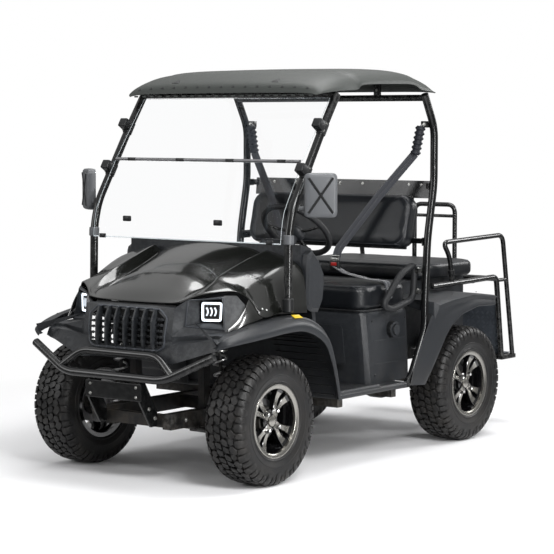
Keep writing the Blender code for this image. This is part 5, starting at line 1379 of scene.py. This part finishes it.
def seat_belt(name, side):
    """The corrugated boot with its anchor, the webbing, the latch plate and the buckle with its red button."""
    top, end = (Vector((side * x, y, z)) for x, y, z in (BELT_TOP, BELT_BOOT_END))
    length = (end - top).length
    folds = 6
    profile = [(0, length)]
    for fold in range(folds):
        for share, radius in ((0.0, 0.0185), (0.14, 0.0195), (0.36, 0.0248), (0.5, 0.0258), (0.64, 0.0248), (0.86, 0.0195)):
            profile.append((radius, length * (1 - (fold + share) / folds)))
    meshes = Kit("boot_rubber", turned([*profile, (0.018, 0), (0, 0)], 28, aimed(end, top)))
    meshes.add("black_steel", box((side * 0.520, 1.290, 1.590), (side * 0.5635, 1.318, 1.622), 0.003),
               rod((side * 0.528, 1.281, 1.590), (side * 0.530, 1.304, 1.606), 0.0098, 20))
    meshes += bolt((side * 0.541, 1.291, 1.606), (0, -1, 0))
    meshes += [webbing(SHOULDER_STRAP, side, (0.86, 0, -0.51)), webbing(LAP_STRAP, side, (0, 1, 0))]
    place = at(side * 0.156, 1.078, 0.918)
    tongue = softened([(-0.024, 0.010), (0.024, 0.010), (0.029, 0.039), (-0.029, 0.039)], 0.006)
    slot = oblong((-0.021, 0.026), (0.021, 0.032), 0.002)
    meshes.add("zinc", plate(tongue, 0.003, place @ FACING, [slot], 0.0008))
    for material, low, high, bevel, segments in (
        ("buckle_black", (-0.029, -0.0118, -0.0395), (0.029, 0.0118, 0.012), 0.006, 3),
        ("release_red", (-0.019, -0.0119, -0.014), (0.019, -0.006, 0.006), 0.002, 2),
    ):
        meshes.add(material, placed(box(low, high, bevel, segments), place))
    piece(f"seat_belt_{name}_webbing", meshes, replaces=f"seat_belt_{name}", angle=40)


# Cab

FLOOR_TOP = 0.358
COLUMN_TILT = 47
WHEEL_CENTRE = (0.270, 0.600, 1.105)


def dash():
    """The dash with its binnacle, switches, pedals with rubber pads, and matt end shields."""
    meshes = Kit("matt_plastic", copy_of("dash"))
    face = oblong((-0.068, -0.030), (0.068, 0.030), 0.014)
    meshes.add("lamp_bowl", plate(face, 0.002, at(0.270, 0.4705, 1.028) @ FACING, bevel=0.0006))
    vent = oblong((-0.036, -0.018), (0.036, 0.018), 0.010)
    for x in (-0.525, 0.405):
        meshes.add("lamp_bowl", plate(vent, 0.003, at(x, 0.4433, 0.905) @ FACING, bevel=0.0008))
    ring = ((0.0215, 0.0008), (0.0215, 0.003), (0.0235, 0.003), (0.0235, 0.0008))
    for x in (0.245, 0.295):
        meshes.add("chrome", turned(ring, 32, at(x, 0.4712, 1.028) @ spin(-math.pi / 2, "X")))
    for x in (-0.42, -0.36, -0.10, -0.04, 0.02):
        meshes.add("buckle_black", block((x, 0.44075, 0.952), (0.017, 0.00325, 0.013), 0.004, 3))
    meshes.add("zinc", rod((0.440, 0.436, 0.946), (0.440, 0.452, 0.949), 0.013))
    meshes.add("buckle_black", box((0.4375, 0.450, 0.938), (0.4425, 0.4535, 0.958), 0.001))
    meshes.add("release_red", rod((0.495, 0.434, 0.925), (0.495, 0.452, 0.928), 0.010))
    for x, low, high, half, bars in ((0.330, 0.470, 0.540, 0.040, 5), (0.160, 0.440, 0.560, 0.026, 9)):
        for count in range(bars):
            z = low + 0.006 + (high - low - 0.012) * count / (bars - 1)
            meshes.add("grip_rubber", block((x, 0.529, z), (half - 0.003, 0.0015, 0.0025), 0.0012))
    for y, z in ((0.330, 0.790), (0.345, 1.006), (0.405, 0.962)):
        for side in (-1, 1):
            meshes += rivet((side * 0.5505, y, z), (side, 0, 0), 0.0045)
    piece("dash_moulding", meshes, replaces="dash", angle=28, bevel=0.0018)


def steering_wheel():
    """A padded ring on three steel spokes, with a moulded boss."""
    ring = [Vector((*polar(0.170, 5 * step), 0)) for step in range(72)]
    meshes = Kit("grip_rubber", tube(ring, 0.0143, sides=16, closed=True))
    profile = ((0.0146, -0.002), (0.0150, 0), (0.0146, 0.002), (0.0138, 0.002), (0.0138, -0.002))
    for step in range(36):
        if step % 9 not in (4, 5):
            spot, ahead = ((*polar(0.170, 10 * step + turn), 0) for turn in (0, 1))
            meshes.add("grip_rubber", turned(profile, 14, aimed(spot, ahead)))
    boss = ((0, 0.004), (0.022, 0.0035), (0.039, 0.0), (0.048, -0.006), (0.0515, -0.014), (0.046, -0.028), (0.030, -0.040),
            (0, -0.040))
    cap = ((0, 0.0052), (0.020, 0.0048), (0.0235, 0.003), (0.0235, 0.001), (0, 0.001))
    meshes.add("matt_plastic", turned(boss, 40))
    meshes.add("buckle_black", turned(cap, 32))
    for angle in (90, -12, 192):
        line = [(*polar(radius, angle), z) for radius, z in ((0.030, -0.014), (0.080, -0.013), (0.170, 0))]
        meshes.add("black_steel", tube(line, 0.0072, 0.04, 12, steps=6))
    meshes.place(at(*WHEEL_CENTRE) @ leaning(COLUMN_TILT - 90, "X"))
    piece("steering_wheel_rim", meshes, "steering_wheel", "steering_wheel", 45)


def floor():
    """The floor pan with its mat's ribs and the sill strips."""
    meshes = Kit("matt_plastic", copy_of("floor"))
    mat = oblong((-0.545, 0.545), (0.545, 0.832), 0.03)
    meshes.add("grip_rubber", plate(mat, 0.003, at(0, 0, FLOOR_TOP + 0.0012), bevel=0.0006))
    rib = box((-0.526, 0.565, FLOOR_TOP + 0.0022), (-0.518, 0.815, FLOOR_TOP + 0.0045), 0.001)
    meshes.append(repeated("row", rib, "grip_rubber", 37, (0.029, 0, 0)))
    piece("floor_moulding", meshes, replaces="floor", angle=28, bevel=0.0015)


# The seat base's side: height and distance from the middle
BASE_FLANK = ((0.3583, 0.520), (0.500, 0.512), (0.690, 0.500))
FILLER = (1.060, 0.610)


def seat_base():
    """The moulded box with its ribs, handle recess, bolts, and the filler neck with its ribbed cap."""
    meshes = Kit("matt_plastic", copy_of("seat_base"))
    for side in (-1, 1):
        for y, z in ((0.905, 0.400), (1.180, 0.400), (0.900, 0.660), (1.185, 0.660)):
            meshes += rivet((side * (read_line(BASE_FLANK, z) + 0.0002), y, z), (side, 0, 0.05), 0.0055)
        for z in (0.452, 0.564):
            x = read_line(BASE_FLANK, z)
            strip = box((x - 0.003, 0.905, z - 0.0025), (x + 0.0012, 1.175, z + 0.0025), 0.001)
            meshes.add("matt_plastic", placed(strip, handed(side)))
    y, z = FILLER
    meshes.add("buckle_black", rod((0.490, y, z), (0.5318, y, z), 0.0398, 40, 0.004))
    meshes.add("grip_rubber", rod((0.485, y, z), (0.5398, y, z), 0.0258, 36, 0.004))
    for count in range(18):
        away, up = polar(0.0262, 20 * count)
        meshes.add("grip_rubber", rod((0.5325, y + away, z + up), (0.5385, y + away, z + up), 0.0016, 8))
    recess = softened([(-0.105, 0.450), (0.105, 0.450), (0.090, 0.640), (-0.090, 0.640)], 0.02)
    for x in (-0.30, 0.0, 0.30):
        meshes.add("matt_plastic", plate(recess, 0.002, at(x, 0.8425) @ spin(0.055, "X") @ FACING, bevel=0.0008))
    piece("seat_base_moulding", meshes, replaces="seat_base", angle=28, bevel=0.0018)


def cab():
    for part in (dash, steering_wheel, floor, seat_base, seats):
        part()
    for name, side in SIDES:
        seat_belt(name, side)


# Chassis and rear end

KINGPIN_X = 0.405
TYRE_RADIUS = 0.291
SPRING_RADIUS = 0.032
SPRING_TURNS = 6


def springs(start, end):
    """A fine coil over a damper with its collars, for the coil-over between two points."""
    length = (Vector(end) - Vector(start)).length
    place = aimed(start, end)
    turns, steps = SPRING_TURNS, SPRING_TURNS * 22
    low, high = length * 0.185, length * 0.875
    coil = [
        place @ Vector((*polar(SPRING_RADIUS, 360 * turns * step / steps), low + (high - low) * step / steps))
        for step in range(steps + 1)
    ]
    seat = SPRING_RADIUS + 0.005
    meshes = Kit("spring_steel", tube(coil, 0.0050, sides=8))
    for top, edge in ((0.885, 0.880), (0.196, 0.190)):
        cup = ((0, top), (seat * 0.6, top), (seat, edge), (seat, edge - 0.012), (0.016, edge - 0.018), (0, edge - 0.018))
        meshes.add("zinc", turned([(radius, share * length) for radius, share in cup], 28, place))
    shaft = ((0, 0.86), (0.0085, 0.86), (0.0085, 0.52), (0.0185, 0.50), (0.0185, 0.20), (0, 0.20))
    meshes.add("frame_steel", turned([(radius, share * length) for radius, share in shaft], 24, place))
    return meshes


def tubes_of(paths, material="black_steel"):
    """Bent tubes, each from its points, radius and bend."""
    return Kit(material, *(tube(points, radius, bend) for points, radius, bend in paths))


def front_suspension():
    """The subframe, arms and mounts with rounded edges, fine springs, bushes and bolts."""
    meshes = Kit("frame_steel", box((-0.246, -0.130, 0.236), (0.246, 0.096, 0.2497), 0.003))
    for side in (-1, 1):
        kingpin, coil, mast, seat = (side * x for x in (KINGPIN_X, 0.285, 0.241, 0.330))
        meshes += springs((seat, -0.012, 0.205), (coil, -0.012, 0.640))
        meshes += tubes_of((
            (((side * 0.200, -0.110, 0.2365), (kingpin, -0.006, 0.214)), 0.012, 0),
            (((side * 0.200, 0.080, 0.2365), (kingpin, 0.006, 0.214)), 0.012, 0),
            (((kingpin, 0, 0.366), (side * 0.355, 0.062, 0.368), (side * 0.242, 0.062, 0.372)), 0.010, 0.03),
        ), "frame_steel")
        for low, high in ((0.200, TYRE_RADIUS - 0.063), (0.354, 0.376)):
            meshes.add("cast_alloy", rod((kingpin, 0, low), (kingpin, 0, high), 0.018, 28))
        for low, high in (
            ((coil - 0.045, -0.045, 0.628), (coil + 0.045, 0.020, 0.645)),
            ((mast - 0.005, 0.042, 0.236), (mast + 0.005, 0.082, 0.386)),
            ((seat - 0.035, -0.066, 0.206), (seat + 0.035, 0.056, 0.222)),
        ):
            meshes.add("frame_steel", box(low, high, 0.002))
        for y in (-0.110, 0.080):
            meshes += bolt((side * 0.2195, y, 0.2488), (0, 0, -1), 0.005)
        meshes += bolt((side * 0.2462, 0.062, 0.372), (side, 0, 0), 0.005)
    piece("front_suspension_parts", meshes, replaces="front_suspension", angle=35)


def rear_axle():
    """The axle, its gear case, brake drums, links and fine springs."""
    end, y, z = 0.473, WHEELBASE, TYRE_RADIUS
    meshes = Kit("frame_steel", rod((-end, y, z), (end, y, z), 0.022, 32))
    half = ((0, 0.085), (0.036, 0.085), (0.060, 0.070), (0.080, 0.048), (0.085, 0.030))
    case = [*half, *((radius, -height) for radius, height in half[::-1])]
    meshes.add("cast_alloy", turned(case, 40, at(0.030, y, z - 0.035) @ OUTBOARD))
    for side in (-1, 1):
        meshes += springs((side * 0.315, y - 0.012, 0.300), (side * 0.290, 1.605, 0.6190))
        meshes.add("cast_alloy", rod((side * 0.372, y, z), (side * 0.392, y, z), 0.0848, 48))
        meshes.add("frame_steel", tube(((side * 0.315, y, 0.275), (side * 0.300, 1.290, 0.275)), 0.014),
                   rod((side * 0.2353, 1.290, 0.275), (side * 0.318, 1.290, 0.275), 0.0198, 28))
        meshes += bolt((side * 0.318, 1.290, 0.275), (side, 0, 0), 0.006)
    piece("rear_axle_parts", meshes, replaces="rear_axle", angle=35)


def chassis():
    """The plain steel parts with their edges rounded, and bolts where they meet."""
    bolts = Kit()
    for side in (-1, 1):
        for y in (-0.180, 0.100, 0.560, 0.700, 1.010, 1.200):
            bolts += bolt((side * 0.2352, y, 0.285), (side, 0, 0), 0.005)
    eased("main_frame", "frame_steel", 0.002, extra=bolts)
    eased("engine", "cast_alloy", 0.004)
    for name, _ in SIDES:
        eased(f"knuckle_{name}", "cast_alloy", 0.0015, body=f"knuckle_{name}")
    eased("steering_rack", "zinc", 0.0012, body="steering_rack")
    front_suspension()
    rear_axle()


KIT_X = 0.460
HOOP_X, HOOP_Y = 0.130, 2.240


def rear_kit():
    """The welded tube set behind, its clamps and collars, and the bar that the footrest is bolted to."""
    meshes = tubes_of([(((-KIT_X, 2.120, 0.790), (KIT_X, 2.120, 0.790)), 0.0143, 0)])
    for side in (-1, 1):
        x = side * KIT_X
        meshes += tubes_of((
            (((x, 1.500, 0.788), (x, 2.130, 0.800), (x, 2.190, 0.372)), 0.0145, 0.05),
            (((x, 1.690, 0.790), (x, 1.665, 0.930), (x, 1.600, 1.006), (x, 2.190, 1.020), (x, 2.305, 0.372)), 0.0125, 0.06),
            (((x, 2.135, 0.780), (x, 2.235, 0.780)), 0.010, 0),
        ))
        for y in (1.580, 1.900):
            meshes.add("black_steel", box((side * 0.3605, y - 0.012, 0.779), (x, y + 0.012, 0.797), 0.002))
        meshes.add("buckle_black", rod((x, 1.684, 0.838), (x, 1.679, 0.862), 0.017))
        for bolt_x in (0.440, 0.380):
            meshes += bolt((side * bolt_x, 2.300, 0.352), (0, 0, -1), 0.004)
    hoop = [(x, HOOP_Y, z) for x, z in ((-HOOP_X, 0.372), (-HOOP_X, 1.170), (HOOP_X, 1.170), (HOOP_X, 0.372))]
    meshes += tubes_of(((hoop, 0.0125, 0.06), (((-HOOP_X, HOOP_Y, 1.108), (HOOP_X, HOOP_Y, 1.108)), 0.009, 0)))
    meshes.add("black_steel", box((-KIT_X - 0.014, 2.176, 0.352), (KIT_X + 0.014, 2.320, 0.3745), 0.003))
    piece("rear_frame_tubes", meshes, replaces="rear_seat_frame", angle=35)


def footrest():
    """The folded tread plate with raised bars in alternate directions."""
    meshes = Kit("tread_plate", copy_of("footrest"))
    bar = placed(turned(((0, 0.0012), (0.0035, 0.0010), (0.0062, 0), (0, 0)), 10), Matrix.Scale(2.1, 4, (1, 0, 0)))
    rise = math.atan2(0.2775, -0.060)
    for column in range(28):
        x = -0.422 + 0.0312 * column
        for row in range(13):
            deck = row < 4
            along = 0.016 + 0.0265 * (row if deck else row - 4)
            if along > 0.268 or deck and abs(abs(x) - HOOP_X) < 0.024:
                continue
            y, z = (2.308 - along, 0.3776) if deck else (2.2085 - along * 0.2113, 0.3785 + along * 0.9774)
            lean = Matrix() if deck else spin(-rise, "X")
            turn = leaning(45 if (row + column) % 2 else -45, "Z")
            meshes.add("tread_plate", placed(bar.copy(), at(x, y, z) @ lean @ turn))
    piece("footrest_plate", meshes, replaces="footrest", angle=30)


def rear_body():
    """The box over the engine with eased edges, louvres on its sides, and lamps and reflectors at the back."""
    meshes = Kit()
    for side in (-1, 1):
        for count in range(5):
            z = 0.560 + 0.022 * count
            fin = box((0.3592, 1.700, z - 0.004), (0.3612, 1.900, z + 0.003), 0.0008)
            meshes.add("matt_plastic", placed(fin, handed(side)))
        for x, material in ((0.300, "reflector_red"), (0.235, "reflector_amber")):
            meshes.add(material, box((side * x - 0.028, 1.9585, 0.700), (side * x + 0.028, 1.9600, 0.740), 0.0006))
        for y, z in ((1.300, 0.780), (1.920, 0.780), (1.920, 0.520)):
            meshes += rivet((side * 0.3600, y, z), (side, 0, 0))
    eased("rear_body", "matt_plastic", 0.004, extra=meshes)


def underneath():
    for part in (chassis, rear_body, rear_kit, footrest):
        part()


# Stage


def soft_light(name, place, size, power):
    """A rectangular lamp turned to the cart's middle."""
    data = bpy.data.lights.new(name, "AREA")
    data.shape = "RECTANGLE"
    data.size, data.size_y = size
    data.energy = power
    lamp = linked(name, data)
    lamp.location = place
    lamp.rotation_euler = (Vector((0, 0, 0.8)) - Vector(place)).to_track_quat("-Z", "Y").to_euler()


# How bright the surroundings are to whatever sees them by neither eye, gloss nor glass
WORLD_FILL = 0.30


def pale_world():
    """White to the camera and through glass, a gradient from the floor up to gloss, and a dim fill for the rest."""
    world = bpy.data.worlds.new("studio")
    bpy.context.scene.world = world
    world.use_nodes = True
    tree = world.node_tree
    seen = node(tree, "ShaderNodeLightPath").outputs
    height = node(tree, "ShaderNodeSeparateXYZ", {0: node(tree, "ShaderNodeTexCoord").outputs["Generated"]}).outputs["Z"]
    gloss = maths(tree, "MULTIPLY", seen["Is Glossy Ray"], ranged(tree, height, 0.25, 0.75, to_high=0.9))
    direct = maths(tree, "MAXIMUM", seen["Is Camera Ray"], maths(tree, "MAXIMUM", gloss, seen["Is Transmission Ray"]))
    strength = node(tree, "ShaderNodeMix", {0: direct, 2: WORLD_FILL, 3: 1.0}, data_type="FLOAT").outputs[0]
    background = tree.nodes["Background"]
    background.inputs["Color"].default_value = (1, 1, 1, 1)
    tree.links.new(strength, background.inputs["Strength"])


def floor_material():
    """A pale floor that takes the shadow near the cart and fades to white further off."""
    made = bpy.data.materials.new("studio_floor")
    made.use_nodes = True
    tree = made.node_tree
    shader = tree.nodes["Principled BSDF"]
    shader.inputs["Base Color"].default_value = (0.86, 0.86, 0.87, 1)
    shader.inputs["Roughness"].default_value = 0.6
    shader.inputs["Specular IOR Level"].default_value = 0.2
    place = node(tree, "ShaderNodeTexCoord").outputs["Object"]
    away = node(tree, "ShaderNodeVectorMath", {0: place}, operation="LENGTH").outputs["Value"]
    fade = ranged(tree, away, 1.5, 3.2)
    seen = node(tree, "ShaderNodeLightPath").outputs
    direct = maths(tree, "MAXIMUM", maths(tree, "MAXIMUM", seen["Is Camera Ray"], seen["Is Transmission Ray"]), 0.22)
    white = node(tree, "ShaderNodeEmission", {"Color": (1, 1, 1, 1), "Strength": direct}).outputs[0]
    both = node(tree, "ShaderNodeMixShader", {0: fade, 1: shader.outputs[0], 2: white}).outputs[0]
    tree.links.new(both, tree.nodes["Material Output"].inputs["Surface"])
    return made


def stage():
    scene = bpy.context.scene
    scene.view_settings.view_transform = "Standard"
    pale_world()
    shape = bmesh.new()
    bmesh.ops.create_grid(shape, x_segments=8, y_segments=8, size=12)
    ground = linked("studio_floor", mesh_of(shape))
    ground.data.materials.append(floor_material())
    soft_light("key", (4.2, -3.2, 4.4), (1.8, 1.4), 230)
    soft_light("front_fill", (-3.2, -5.0, 2.6), (2.4, 2.4), 90)
    soft_light("top", (0.2, 0.4, 5.0), (3.4, 2.6), 210)
    soft_light("strip", (3.6, -1.6, 1.3), (0.25, 2.2), 90)
    soft_light("rear_rim", (2.8, 4.8, 3.2), (1.4, 2.4), 160)
    data = bpy.data.cameras.new("photo_view")
    data.lens, data.sensor_width = 129.7, 36
    camera = scene.camera = linked("photo_view", data)
    camera.location = (5.892, -7.9635, 1.608)
    camera.rotation_euler = [math.radians(angle) for angle in (85.61, -0.073, 37.01)]


make_materials()
stage()
wheels()
panels()
cab()
underneath()

# The finish of each slot whose name is no finish's
CAD_FINISH = {
    "chassis_steel": "frame_steel", "body_paint": "hood_paint", "body_plastic": "matt_plastic", "lamp_glass": "lamp_bowl",
    "black_vinyl": "vinyl", "steering_grip": "grip_rubber", "bare_alloy": "cast_alloy", "rim_alloy": "rim_black",
    "clear_screen": "clear_sheet", "belt_boot": "boot_rubber",
}


def dress_nodes():
    """Gives every CAD node that still shows the finish of its slot."""
    for part in frame["record"]["subparts"]:
        slot = part["material_slot"]
        painted(NODES[part["node"]].data, CAD_FINISH.get(slot, slot))


dress_nodes()
